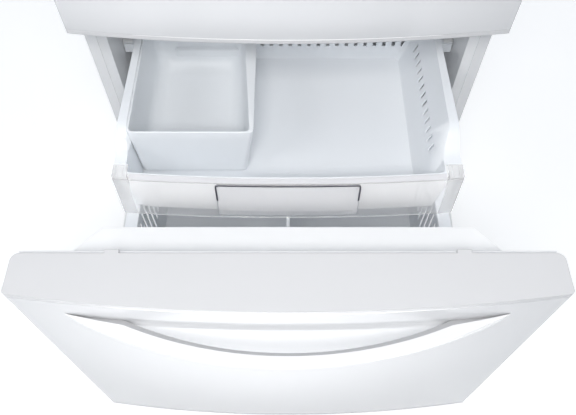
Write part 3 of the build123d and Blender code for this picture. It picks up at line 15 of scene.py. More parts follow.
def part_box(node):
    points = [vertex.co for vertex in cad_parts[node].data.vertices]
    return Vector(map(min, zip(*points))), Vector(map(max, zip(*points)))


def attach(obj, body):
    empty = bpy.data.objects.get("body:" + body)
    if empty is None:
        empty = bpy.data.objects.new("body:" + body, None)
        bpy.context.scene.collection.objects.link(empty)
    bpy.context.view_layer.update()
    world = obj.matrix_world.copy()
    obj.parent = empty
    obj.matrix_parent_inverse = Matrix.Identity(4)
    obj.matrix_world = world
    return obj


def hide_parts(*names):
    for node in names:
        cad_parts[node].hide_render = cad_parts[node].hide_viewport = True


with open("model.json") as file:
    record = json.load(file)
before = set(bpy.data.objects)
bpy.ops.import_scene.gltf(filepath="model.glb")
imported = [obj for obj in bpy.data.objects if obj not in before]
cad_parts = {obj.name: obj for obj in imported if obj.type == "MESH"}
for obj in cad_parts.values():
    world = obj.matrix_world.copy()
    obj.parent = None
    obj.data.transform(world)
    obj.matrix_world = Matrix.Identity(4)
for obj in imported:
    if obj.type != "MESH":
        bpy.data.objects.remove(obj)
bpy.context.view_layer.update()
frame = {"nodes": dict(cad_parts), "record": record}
LOG = logging.getLogger("refrigerator")

Colour = Tuple[float, float, float]
Pair = Tuple[float, float]
Triple = Tuple[float, float, float]
Mesh = bmesh.types.BMesh
Edge = bmesh.types.BMEdge
Tree = bpy.types.NodeTree
Node = bpy.types.Node
Socket = bpy.types.NodeSocket
Material = bpy.types.Material

MM = 0.001
NUMBER = "NodeSocketFloat"
HARD_ANGLE = 1.0
STRAIGHT = 0.9
CUT_REACH = 1e-4
FINE_RELIEF = 0.00001
SMALL_HEAD = (2.6, 3.8, 1.4, 1.0)
DRAWER_CROWN = -635.0
DOOR_CROWN = -116.0
REAR_FACE = 696.0


class Gloss(Enum):
    """How shiny a surface is, as its roughness."""

    MIRROR = 0.06
    GLOSSY = 0.16
    SATIN = 0.34
    SOFT = 0.5
    MATT = 0.72


class Grain(Enum):
    """Fine relief of a surface: noise scale per metre and depth in metres."""

    PAINT = (240.0, 0.00002)
    MOULDED = (700.0, 0.00003)
    SPARK = (1500.0, 0.00005)
    CAST = (420.0, 0.00018)


# ------------------------------------------------------------------ shared node groups


def link(tree: Tree, source: Socket, target: Socket) -> None:
    """Joins two sockets of one tree."""
    tree.links.new(source, target)


def math_node(tree: Tree, operation: str, *values: object) -> Socket:
    """Adds one Math node.

    Args:
        tree: The tree that gets the node.
        operation: Blender's name of the operation.
        values: One socket or number for each input, in order.

    Returns:
        The node's output socket.
    """
    node = tree.nodes.new("ShaderNodeMath")
    node.operation = operation
    for socket, value in zip(node.inputs, values):
        if isinstance(value, Socket):
            link(tree, value, socket)
        else:
            socket.default_value = value
    return node.outputs[0]


def set_inputs(node: Node, values: Dict[str, object]) -> None:
    """Sets a node's inputs by their names."""
    for label, value in values.items():
        node.inputs[label].default_value = value


def new_group(name: str, inputs: Dict[str, float], outputs: Sequence[str]) -> Tree:
    """Starts a shader node group with named number sockets.

    Args:
        name: The group's name.
        inputs: Default value for each input.
        outputs: The outputs' names.

    Returns:
        The group, with its two end nodes named "in" and "out".
    """
    tree = bpy.data.node_groups.new(name, "ShaderNodeTree")
    for label, value in inputs.items():
        socket = tree.interface.new_socket(label, in_out="INPUT", socket_type=NUMBER)
        socket.default_value = value
    for label in outputs:
        tree.interface.new_socket(label, in_out="OUTPUT", socket_type=NUMBER)
    tree.nodes.new("NodeGroupInput").name = "in"
    tree.nodes.new("NodeGroupOutput").name = "out"
    return tree


def object_noise(tree: Tree, scale: object, detail: float, stretch: Sequence[float] = (1, 1, 1)) -> Socket:
    """Adds noise on Object coordinates.

    Args:
        tree: The tree that gets the nodes.
        scale: Socket or number for the noise scale.
        detail: Octaves of the noise.
        stretch: Scale of the coordinates along each axis.

    Returns:
        The noise value, from 0 to 1.
    """
    place = tree.nodes.new("ShaderNodeTexCoord")
    mapping = tree.nodes.new("ShaderNodeMapping")
    set_inputs(mapping, {"Scale": stretch})
    noise = tree.nodes.new("ShaderNodeTexNoise")
    set_inputs(noise, {"Detail": detail})
    link(tree, place.outputs["Object"], mapping.inputs["Vector"])
    link(tree, mapping.outputs["Vector"], noise.inputs["Vector"])
    if isinstance(scale, Socket):
        link(tree, scale, noise.inputs["Scale"])
    else:
        set_inputs(noise, {"Scale": scale})
    return noise.outputs["Fac"]


def grain_group() -> Tree:
    """Fine relief and a slow change of tone, shared by the paint, plastic and rubber finishes.

    Returns:
        The group, with Height, Tone and Roughness outputs.
    """
    tree = new_group(
        "surface_grain",
        {"Scale": 500.0, "Tone Depth": 0.02, "Roughness": 0.4, "Scatter": 0.05},
        ("Height", "Tone", "Roughness"),
    )
    start, end = tree.nodes["in"], tree.nodes["out"]
    fine = object_noise(tree, start.outputs["Scale"], detail=3.0)
    slow = object_noise(tree, scale=2.3, detail=2.0)
    smear = object_noise(tree, scale=14.0, detail=4.0, stretch=(1, 1, 0.35))
    link(tree, fine, end.inputs["Height"])
    swing = math_node(tree, "SUBTRACT", slow, 0.5)
    tone = math_node(tree, "MULTIPLY", swing, start.outputs["Tone Depth"])
    link(tree, math_node(tree, "ADD", tone, 1.0), end.inputs["Tone"])
    smeared = math_node(tree, "MULTIPLY", math_node(tree, "SUBTRACT", smear, 0.5), start.outputs["Scatter"])
    link(tree, math_node(tree, "ADD", start.outputs["Roughness"], smeared), end.inputs["Roughness"])
    return tree


def brush_group() -> Tree:
    """Drawn or rolled lines of bare sheet metal.

    Returns:
        The group, with Height, Tone and Roughness outputs.
    """
    tree = new_group("rolled_lines", {"Roughness": 0.35, "Depth": 0.08}, ("Height", "Tone", "Roughness"))
    start, end = tree.nodes["in"], tree.nodes["out"]
    lines = object_noise(tree, scale=900.0, detail=2.0, stretch=(1, 0.03, 1))
    bloom = object_noise(tree, scale=26.0, detail=5.0)
    link(tree, lines, end.inputs["Height"])
    line_part = math_node(tree, "MULTIPLY", lines, 0.4)
    mixed = math_node(tree, "ADD", line_part, math_node(tree, "MULTIPLY", bloom, 0.6))
    swing = math_node(tree, "MULTIPLY", math_node(tree, "SUBTRACT", mixed, 0.5), start.outputs["Depth"])
    link(tree, math_node(tree, "ADD", swing, 1.0), end.inputs["Tone"])
    link(tree, math_node(tree, "ADD", start.outputs["Roughness"], swing), end.inputs["Roughness"])
    return tree


def dust_group() -> Tree:
    """Thin dust that settles on what faces up, for the machine space and the base.

    Returns:
        The group, with a Mask output.
    """
    tree = new_group("settled_dust", {"Amount": 0.3}, ("Mask",))
    start, end = tree.nodes["in"], tree.nodes["out"]
    geometry = tree.nodes.new("ShaderNodeNewGeometry")
    split = tree.nodes.new("ShaderNodeSeparateXYZ")
    link(tree, geometry.outputs["Normal"], split.inputs[0])
    upward = math_node(tree, "MAXIMUM", split.outputs["Z"], 0.0)
    cloud = object_noise(tree, scale=38.0, detail=5.0)
    mask = math_node(tree, "MULTIPLY", math_node(tree, "MULTIPLY", upward, cloud), start.outputs["Amount"])
    link(tree, mask, end.inputs["Mask"])
    return tree


@dataclass
class GroupShelf:
    """The shared node groups, each built once when a finish first asks for it."""

    made: Dict[str, Tree] = field(default_factory=dict)

    def get(self, name: str, build: Callable[[], Tree]) -> Tree:
        """Finds a shared group, building it the first time.

        Args:
            name: The group's name here.
            build: Function that builds it.

        Returns:
            The group.
        """
        if name not in self.made:
            self.made[name] = build()
        return self.made[name]


SHELF = GroupShelf()


# ------------------------------------------------------------------ finishes


def blank_material(name: str) -> Tuple[Material, Tree, Node]:
    """Makes a material with only a Principled shader.

    Args:
        name: The material's name.

    Returns:
        The material, its tree and its Principled node.
    """
    material = bpy.data.materials.new(name)
    material.use_nodes = True
    tree = material.node_tree
    return material, tree, tree.nodes["Principled BSDF"]


def add_group(tree: Tree, group: Tree, values: Dict[str, float]) -> Node:
    """Places a shared group in a material.

    Args:
        tree: The material's tree.
        group: The group to place.
        values: This material's own value for each named input.

    Returns:
        The group node.
    """
    node = tree.nodes.new("ShaderNodeGroup")
    node.node_tree = group
    set_inputs(node, values)
    return node


def tinted(tree: Tree, colour: Colour, tone: Socket) -> Socket:
    """Multiplies a colour by a tone that changes over the surface.

    Args:
        tree: The material's tree.
        colour: The plain colour.
        tone: Socket with the tone.

    Returns:
        Socket with the tinted colour.
    """
    mix = tree.nodes.new("ShaderNodeVectorMath")
    mix.operation = "SCALE"
    mix.inputs[0].default_value = colour
    link(tree, tone, mix.inputs["Scale"])
    return mix.outputs[0]


def relief(tree: Tree, shader: Node, height: Socket, depth: float, edge: float = 0.0) -> None:
    """Feeds a height through a Bump node into the shader's Normal.

    Args:
        tree: The material's tree.
        shader: The Principled node.
        height: Height from 0 to 1.
        depth: Depth of the relief in metres.
        edge: Radius in metres that softens every hard edge, or 0 for none.
    """
    bump = tree.nodes.new("ShaderNodeBump")
    set_inputs(bump, {"Strength": 1.0, "Distance": depth})
    link(tree, height, bump.inputs["Height"])
    if edge > 0:
        softened = tree.nodes.new("ShaderNodeBevel")
        softened.samples = 4
        set_inputs(softened, {"Radius": edge})
        link(tree, softened.outputs["Normal"], bump.inputs["Normal"])
    link(tree, bump.outputs["Normal"], shader.inputs["Normal"])


def wire(
    tree: Tree, shader: Node, colour: Socket, group: Node, depth: float = FINE_RELIEF, edge: float = 0.0
) -> None:
    """Feeds a colour and a shared group's roughness and height into the shader.

    Args:
        tree: The material's tree.
        shader: The Principled node.
        colour: The surface's colour.
        group: The node of the shared group.
        depth: Depth of the relief in metres.
        edge: Radius in metres that softens every hard edge, or 0 for none.
    """
    link(tree, colour, shader.inputs["Base Color"])
    link(tree, group.outputs["Roughness"], shader.inputs["Roughness"])
    relief(tree, shader, group.outputs["Height"], depth, edge)


@dataclass(frozen=True)
class SolidFinish:
    """Paint, moulded plastic or rubber: one body colour with fine relief."""

    name: str
    colour: Colour
    gloss: Gloss
    grain: Grain
    coat: float = 0.0
    tone_depth: float = 0.02
    scatter: float = 0.05
    specular: float = 0.5
    glow: float = 0.0
    edge: float = 0.0012
    coat_roughness: float = 0.05

    def build(self) -> Material:
        """Builds the finish as a material.

        Returns:
            The material.
        """
        material, tree, shader = blank_material(self.name)
        scale, depth = self.grain.value
        values = {
            "Scale": scale,
            "Tone Depth": self.tone_depth,
            "Roughness": self.gloss.value,
            "Scatter": self.scatter,
        }
        group = add_group(tree, SHELF.get("grain", grain_group), values)
        wire(tree, shader, tinted(tree, self.colour, group.outputs["Tone"]), group, depth, self.edge)
        coat = {"Coat Weight": self.coat, "Coat Roughness": self.coat_roughness}
        set_inputs(shader, {"Specular IOR Level": self.specular, **coat})
        if self.glow > 0:
            set_inputs(shader, {"Emission Color": (*self.colour, 1), "Emission Strength": self.glow})
        return material


@dataclass(frozen=True)
class MetalFinish:
    """Bare or plated sheet metal with rolled lines."""

    name: str
    colour: Colour
    gloss: Gloss
    lines: float = 0.1
    dust: float = 0.0
    dust_colour: Colour = (0.42, 0.4, 0.37)

    def build(self) -> Material:
        """Builds the finish as a material.

        Returns:
            The material.
        """
        material, tree, shader = blank_material(self.name)
        values = {"Roughness": self.gloss.value, "Depth": self.lines}
        group = add_group(tree, SHELF.get("brush", brush_group), values)
        colour = tinted(tree, self.colour, group.outputs["Tone"])
        if self.dust > 0:
            settled = add_group(tree, SHELF.get("dust", dust_group), {"Amount": self.dust})
            mix = tree.nodes.new("ShaderNodeMix")
            mix.data_type = "RGBA"
            link(tree, settled.outputs["Mask"], mix.inputs["Factor"])
            link(tree, colour, mix.inputs["A"])
            set_inputs(mix, {"B": (*self.dust_colour, 1)})
            colour = mix.outputs["Result"]
        wire(tree, shader, colour, group)
        set_inputs(shader, {"Metallic": 1.0})
        return material


@dataclass(frozen=True)
class ClearFinish:
    """See-through plastic or glass, which lets most light through to what lies behind it."""

    name: str
    colour: Colour
    gloss: Gloss = Gloss.MIRROR
    ior: float = 1.45
    clear: float = 1.0
    shadow_pass: float = 0.92
    ripple: float = 90.0

    def build(self) -> Material:
        """Builds the finish as a material.

        Returns:
            The material.
        """
        material, tree, shader = blank_material(self.name)
        values = {"Scale": self.ripple, "Tone Depth": 0.02, "Roughness": self.gloss.value, "Scatter": 0.03}
        group = add_group(tree, SHELF.get("grain", grain_group), values)
        wire(tree, shader, tinted(tree, self.colour, group.outputs["Tone"]), group)
        set_inputs(shader, {"Transmission Weight": self.clear, "IOR": self.ior})
        path = tree.nodes.new("ShaderNodeLightPath")
        held = math_node(tree, "MULTIPLY", path.outputs["Is Shadow Ray"], self.shadow_pass)
        link(tree, math_node(tree, "SUBTRACT", 1.0, held), shader.inputs["Alpha"])
        return material


@dataclass(frozen=True)
class FoamFinish:
    """Blown insulation with closed cells."""

    name: str
    colour: Colour
    cell_scale: float = 220.0
    cell_depth: float = 0.0008
    cell_shade: float = 0.35
    least_tone: float = 0.8

    def build(self) -> Material:
        """Builds the finish as a material.

        Returns:
            The material.
        """
        material, tree, shader = blank_material(self.name)
        place = tree.nodes.new("ShaderNodeTexCoord")
        cells = tree.nodes.new("ShaderNodeTexVoronoi")
        set_inputs(cells, {"Scale": self.cell_scale})
        link(tree, place.outputs["Object"], cells.inputs["Vector"])
        walls = math_node(tree, "MULTIPLY", cells.outputs["Distance"], self.cell_shade)
        shade = math_node(tree, "ADD", walls, self.least_tone)
        link(tree, tinted(tree, self.colour, shade), shader.inputs["Base Color"])
        relief(tree, shader, cells.outputs["Distance"], self.cell_depth)
        set_inputs(shader, {"Roughness": Gloss.MATT.value})
        return material


class Palette:
    """Every finish of the refrigerator, built as a material when it is first used."""

    FINISHES = {
        finish.name: finish
        for finish in (
            SolidFinish(
                "white_enamel", (0.665, 0.67, 0.683), Gloss.GLOSSY, Grain.PAINT, coat=0.2, tone_depth=0.012
            ),
            SolidFinish(
                "case_enamel", (0.76, 0.765, 0.775), Gloss.GLOSSY, Grain.PAINT, coat=0.2, tone_depth=0.012
            ),
            SolidFinish("white_cap", (0.67, 0.67, 0.68), Gloss.SOFT, Grain.MOULDED, edge=0.002),
            SolidFinish("liner_white", (0.965, 0.968, 0.97), Gloss.SATIN, Grain.PAINT, coat=0.2),
            SolidFinish("bay_white", (0.7, 0.71, 0.725), Gloss.SATIN, Grain.PAINT, coat=0.1),
            SolidFinish("tray_white", (0.93, 0.955, 0.985), Gloss.SATIN, Grain.MOULDED),
            SolidFinish("bin_white", (0.91, 0.935, 0.96), Gloss.SATIN, Grain.MOULDED),
            ClearFinish("clear_plastic", (0.95, 0.955, 0.965), clear=0.82),
            # painted shade: greyer, less clear copy of the clear plastic for the thick and doubled parts of
            # the tray front
            ClearFinish("shaded_clear_plastic", (0.84, 0.845, 0.855), clear=0.6),
            ClearFinish("milky_plastic", (0.82, 0.82, 0.84), Gloss.SATIN, clear=0.3),
            ClearFinish("shelf_glass", (0.9, 0.97, 0.95)),
            ClearFinish("grip_grey", (0.93, 0.935, 0.95), ior=1.2, clear=0.8),
            SolidFinish("handle_white", (0.84, 0.84, 0.845), Gloss.GLOSSY, Grain.PAINT, coat=0.6),
            MetalFinish("zinc_steel", (0.7, 0.71, 0.73), Gloss.SATIN),
            MetalFinish("galvanised", (0.62, 0.63, 0.65), Gloss.SATIN, lines=0.22, dust=0.25),
            FoamFinish("insulation", (0.88, 0.8, 0.55)),
            SolidFinish("seal_white", (0.78, 0.785, 0.8), Gloss.MATT, Grain.MOULDED),
            SolidFinish("black_rubber", (0.02, 0.02, 0.022), Gloss.MATT, Grain.SPARK),
            SolidFinish("black_enamel", (0.015, 0.015, 0.017), Gloss.SATIN, Grain.CAST),
            SolidFinish("grey_plastic", (0.35, 0.36, 0.38), Gloss.SOFT, Grain.SPARK),
            SolidFinish("black_plastic", (0.025, 0.025, 0.028), Gloss.SOFT, Grain.SPARK),
            SolidFinish("tube_steel", (0.03, 0.03, 0.033), Gloss.SATIN, Grain.PAINT),
            MetalFinish("aluminium", (0.78, 0.79, 0.8), Gloss.SATIN),
            SolidFinish("lamp_diffuser", (0.9, 0.9, 0.88), Gloss.SOFT, Grain.SPARK, glow=0.4),
            SolidFinish("button_grey", (0.5, 0.52, 0.56), Gloss.SATIN, Grain.MOULDED),
            # painted shade: grey for the handle's rear chamfer, in place of the dark reflection of the gap
            # behind the handle
            SolidFinish("handle_shade", (0.5, 0.5, 0.51), Gloss.SOFT, Grain.PAINT, edge=0.0),
            # painted highlight: near-white for the bead that stands in for the bright line along the door
            # caps' front edges
            SolidFinish("highlight_white", (0.97, 0.97, 0.97), Gloss.SATIN, Grain.MOULDED),
            SolidFinish("carrier_white", (0.85, 0.855, 0.86), Gloss.SATIN, Grain.MOULDED),
            MetalFinish("copper", (0.72, 0.42, 0.3), Gloss.SOFT),
            # painted shadow: near-black for the line that stands in for the shadow gap round the grip plate
            SolidFinish("shadow_line_grey", (0.06, 0.06, 0.08), Gloss.SOFT, Grain.MOULDED, edge=0.0),
            SolidFinish("panel_white", (0.95, 0.955, 0.965), Gloss.SATIN, Grain.MOULDED),
        )
    }
    OTHER_LOOKS = {
        "drawer_carriers": "carrier_white",
        "cabinet_shell": "case_enamel",
        "fresh_door_liner": "bay_white",
    }

    def __init__(self) -> None:
        """Starts with no material built."""
        self.built: Dict[str, Material] = {}

    def get(self, name: str) -> Material:
        """Finds a material, building it the first time.

        Args:
            name: The finish's name.

        Returns:
            The material.
        """
        if name not in self.built:
            self.built[name] = self.FINISHES[name].build()
        return self.built[name]

    def dress_nodes(self) -> None:
        """Gives each CAD node the finish that its slot in the record names."""
        for row in frame["record"]["subparts"]:
            node = frame["nodes"].get(row["node"])
            if node is None:
                continue
            node.data.materials.clear()
            node.data.materials.append(self.get(self.OTHER_LOOKS.get(row["node"], row["material_slot"])))


PALETTE = Palette()


# ------------------------------------------------------------------ mesh helpers


def box_mesh(low: Sequence[float], high: Sequence[float]) -> Mesh:
    """Makes a box.

    Args:
        low: Its lower corner.
        high: Its upper corner.

    Returns:
        The box.
    """
    mesh = bmesh.new()
    size = Vector(high) - Vector(low)
    middle = (Vector(high) + Vector(low)) / 2
    matrix = Matrix.Translation(middle) @ Matrix.Diagonal((*size, 1))
    bmesh.ops.create_cube(mesh, size=1.0, matrix=matrix)
    return mesh


def round_edges(
    mesh: Mesh, width: float, segments: int = 3, only: Optional[Callable[[Edge], bool]] = None
) -> None:
    """Bevels edges.

    Args:
        mesh: The mesh to work on.
        width: Width of the bevel in the mesh's own unit.
        segments: Steps of the bevel.
        only: Test that picks the edges, or None for all of them.
    """
    edges = [edge for edge in mesh.edges if only is None or only(edge)]
    bmesh.ops.bevel(
        mesh,
        geom=edges,
        offset=width,
        offset_type="OFFSET",
        segments=segments,
        profile=0.5,
        affect="EDGES",
        clamp_overlap=True,
        material=-1,
    )


def along(axis: int) -> Callable[[Edge], bool]:
    """Makes a test for edges that run along one axis.

    Args:
        axis: Number of the axis.

    Returns:
        The test.
    """

    def runs(edge: Edge) -> bool:
        """True where the edge runs along the axis."""
        run = edge.verts[1].co - edge.verts[0].co
        return abs(run[axis]) > STRAIGHT * run.length

    return runs


def folded(edge: Edge) -> bool:
    """True where two faces meet at a hard angle."""
    return edge.calc_face_angle(0) > HARD_ANGLE


def face_outwards(mesh: Mesh) -> None:
    """Turns the front of every face outwards."""
    bmesh.ops.recalc_face_normals(mesh, faces=mesh.faces[:])


def turn_over(mesh: Mesh) -> None:
    """Turns every face round."""
    bmesh.ops.reverse_faces(mesh, faces=mesh.faces[:])


def whole(mesh: Mesh) -> List[object]:
    """Lists every vertex, edge and face of a mesh."""
    return mesh.verts[:] + mesh.edges[:] + mesh.faces[:]


def foremost(mesh: Mesh) -> bmesh.types.BMFace:
    """Returns the face that stands furthest forwards."""
    return min(mesh.faces, key=lambda face: face.calc_center_median().y)


def add_object(name: str, data: bpy.types.ID) -> bpy.types.Object:
    """Adds an object to the scene.

    Args:
        name: The object's name.
        data: Its mesh, light or camera.

    Returns:
        The object.
    """
    added = bpy.data.objects.new(name, data)
    bpy.context.scene.collection.objects.link(added)
    return added


def place_piece(
    name: str,
    mesh: Mesh,
    finish: str,
    body: str,
    slot: Optional[str] = None,
    stands_for: Optional[str] = None,
    sharp: float = 40.0,
    second: Optional[str] = None,
) -> None:
    """Turns a bmesh drawn in millimetres into a finished piece.

    Args:
        name: The piece's name.
        mesh: Its bmesh, which is freed.
        finish: Name of its finish.
        body: The CAD body that it rides on.
        slot: The record's slot for it, or None where the finish has that slot's name; not used.
        stands_for: CAD node that it replaces.
        sharp: Angle in degrees above which an edge stays sharp.
        second: Name of the finish of the faces with index 1.
    """
    bmesh.ops.scale(mesh, vec=(MM, MM, MM), verts=mesh.verts[:])
    data = bpy.data.meshes.new(name)
    mesh.normal_update()
    mesh.to_mesh(data)
    mesh.free()
    data.materials.append(PALETTE.get(finish))
    if second is not None:
        data.materials.append(PALETTE.get(second))
    data.shade_smooth()
    data.set_sharp_from_angle(angle=math.radians(sharp))
    piece = add_object(name, data)
    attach(piece, body)
    slot or finish
    if stands_for is not None:
        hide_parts(stands_for)
    LOG.info("piece %s with %d faces rides on %s", name, len(data.polygons), body)


def box_of(node: str) -> Tuple[Vector, Vector]:
    """Returns the two corners of a CAD node's box in millimetres."""
    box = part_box(node)
    return Vector(box[0]) / MM, Vector(box[1]) / MM


def slice_along(mesh: Mesh, axis: int, low: float, high: float, count: int) -> None:
    """Cuts a mesh into equal lengths.

    Args:
        mesh: The mesh to cut.
        axis: The axis that the cuts stand across.
        low: Where the first length starts.
        high: Where the last length ends.
        count: How many lengths there are.
    """
    cut_at(mesh, axis, [low + (high - low) * cut / count for cut in range(1, count)])


def reshape(mesh: Mesh, place: Callable[[Vector], Vector]) -> None:
    """Moves every vertex to where place puts it, in millimetres."""
    for vert in mesh.verts:
        vert.co = place(vert.co.copy())


def cut_at(mesh: Mesh, axis: int, places: Sequence[float]) -> None:
    """Cuts a mesh across an axis.

    Args:
        mesh: The mesh to cut.
        axis: Number of the axis.
        places: Where it is cut.
    """
    normal = Vector((0, 0, 0))
    normal[axis] = 1
    for place in places:
        bmesh.ops.bisect_plane(
            mesh, geom=whole(mesh), dist=CUT_REACH, plane_co=normal * place, plane_no=normal
        )


def arc_cuts(low: float, high: float, radius: float, steps: int) -> List[float]:
    """Returns the cuts that give both ends of a span an even arc.

    Args:
        low: Where the span starts.
        high: Where it ends.
        radius: Radius of the arcs.
        steps: Cuts in each arc's half.

    Returns:
        The places of the cuts.
    """
    reach = [radius * (1 - math.tan(step * math.pi / 4 / steps)) for step in range(steps)]
    return [low + far for far in reach] + [high - far for far in reach]


def soft_tub(low: Vector, high: Vector, side: float, floor: float, steps: int = 5) -> Mesh:
    """Makes an open tub whose corners widen from its rim to its rounded floor.

    Args:
        low: Lower corner of the tub's box.
        high: Upper corner of the tub's box.
        side: Radius of the upright corners at the rim.
        floor: Radius of the floor's edges, and of the corners there.
        steps: Cuts in each arc's half.

    Returns:
        The tub as an open sheet.
    """
    mesh = box_mesh(low, high)
    lid = max(mesh.faces, key=lambda face: face.calc_center_median().z)
    bmesh.ops.delete(mesh, geom=[lid], context="FACES")
    for axis in (0, 1):
        cut_at(mesh, axis, arc_cuts(low[axis], high[axis], floor, steps))
    cut_at(mesh, 2, arc_cuts(low.z, high.z, floor, steps)[:steps])
    slice_along(mesh, 2, low.z + floor, high.z, steps)
    middle = (low + high) / 2
    half = (high - low) / 2

    def soften(point: Vector) -> Vector:
        """Moves a point of the box to its place on the rounded tub.

        Args:
            point: The point to move.

        Returns:
            Its new place.
        """
        deep = (high.z - point.z) / (high.z - low.z)
        radius = side + (floor - side) * deep
        past = Vector((0, 0, max(0.0, (low.z + floor - point.z) / floor)))
        flat = Vector((0, 0, max(point.z, low.z + floor)))
        for axis in (0, 1):
            far = abs(point[axis] - middle[axis])
            straight = half[axis] - floor
            past[axis] = max(0.0, (far - straight) / floor)
            flat[axis] = min(far / straight, 1.0) * (half[axis] - radius)
        if past.length > 0:
            past *= max(past) / past.length
        for axis in (0, 1):
            side_of = math.copysign(1.0, point[axis] - middle[axis])
            flat[axis] = middle[axis] + side_of * (flat[axis] + radius * past[axis])
        flat.z -= floor * past.z
        return flat

    reshape(mesh, soften)
    return mesh


def join(mesh: Mesh, other: Mesh) -> None:
    """Adds another mesh to this one.

    Args:
        mesh: The mesh that grows.
        other: The mesh to add, which is freed.
    """
    data = bpy.data.meshes.new("joined")
    other.to_mesh(data)
    other.free()
    mesh.from_mesh(data)
    bpy.data.meshes.remove(data)


def arc_rise(offset: float, half: float, rise: float) -> float:
    """Returns the height of a shallow arc at an offset from its middle, 0 there and rise at half."""
    radius = (half**2 + rise**2) / (2 * rise)
    return radius - math.sqrt(radius**2 - min(abs(offset), half) ** 2)


# ------------------------------------------------------------------ bow handles


class Run(Enum):
    """Which way a handle runs."""

    ACROSS = 0
    UPRIGHT = 2


@dataclass
class BowHandle:
    """Bow handle whose two tips run out on the bowed door face, in millimetres."""

    name: str
    node: str
    body: str
    run: Run
    face_crown: float
    depth: float = 20.0
    height: float = 26.0
    root: float = 88.0
    tip_depth: float = 1.2
    tip_length: float = 46.0
    gap: float = 0.3
    door_half: float = 416.0
    door_bow: float = 28.4
    edges: Tuple[float, float, float, float] = (10.0, 2.0, 6.5, 3.0)
    pieces: int = 96
    least_swell: float = 0.04

    def face(self, x: float) -> float:
        """Returns Y of the door's face at x."""
        return self.face_crown + arc_rise(x, self.door_half, self.door_bow)

    def bar(self, half: float) -> Mesh:
        """Makes the straight bar that is bent later.

        Args:
            half: Half of the handle's span.

        Returns:
            A bar along X, its front at Y 0 and its low side at Z 0.
        """
        mesh = box_mesh((-half, 0, 0), (half, self.depth, self.height))
        low_front, high_front, high_rear, low_rear = self.edges
        corners = ((0, 0, low_front, 6), (0, 1, high_front, 3), (1, 1, high_rear, 1), (1, 0, low_rear, 3))
        for rear, high, width, steps in corners:
            place = Vector((0, rear * self.depth, high * self.height))

            def picked(edge: Edge, place: Vector = place) -> bool:
                """True for the long edge at that corner."""
                return all((Vector((0, vert.co.y, vert.co.z)) - place).length < 0.01 for vert in edge.verts)

            round_edges(mesh, width, steps, picked)
        mesh.normal_update()
        # painted shade: faces that look up and back at the door get the grey handle_shade finish, standing in
        # for the dark reflection of the gap behind the handle
        for face in mesh.faces:
            face.material_index = int(face.normal.y > 0.5 and face.normal.z > 0.5)
        slice_along(mesh, 0, -half, half, self.pieces)
        return mesh

    def build(self) -> None:
        """Builds the handle in place of its CAD solid."""
        low, high = box_of(self.node)
        axis = self.run.value
        other = 2 - axis
        half = (high[axis] - low[axis]) / 2
        middle = (high[axis] + low[axis]) / 2
        inner_half = half - self.root
        front = low.y

        def bend(point: Vector) -> Vector:
            """Bends the bar to the bow and thins its tips.

            Args:
                point: The point to move.

            Returns:
                Its new place.
            """
            run, share, rise = point.x, point.y / self.depth, point.z / self.height
            left = min(1.0, (half - abs(run)) / self.tip_length)
            swell = max(self.least_swell, math.sqrt(1 - (1 - left) ** 2))
            if self.run is Run.ACROSS:
                side = high.z - self.height * (1 - rise) * swell
                face = self.face(run) - self.gap
                tip = self.face(half) - self.tip_depth
                inner_tip = self.face(inner_half)
            else:
                side = (low.x + high.x) / 2 + self.height * (rise - 0.5) * swell
                face = self.face(side) - self.gap
                tip = face - self.tip_depth
                inner_tip = face
            outer = front + arc_rise(run, half, tip - front)
            inner_front = front + self.depth
            inner = math.inf
            if abs(run) < inner_half:
                inner = inner_front + arc_rise(run, inner_half, inner_tip - inner_front)
            back = max(min(inner, face), outer + self.tip_depth / 2)
            place = Vector((0, outer + (back - outer) * share, 0))
            place[axis] = run + middle
            place[other] = side
            return place

        mesh = self.bar(half)
        reshape(mesh, bend)
        face_outwards(mesh)
        place_piece(
            self.name,
            mesh,
            "handle_white",
            self.body,
            stands_for=self.node,
            sharp=32.0,
            second="handle_shade",
        )


# ------------------------------------------------------------------ clear front of the tray


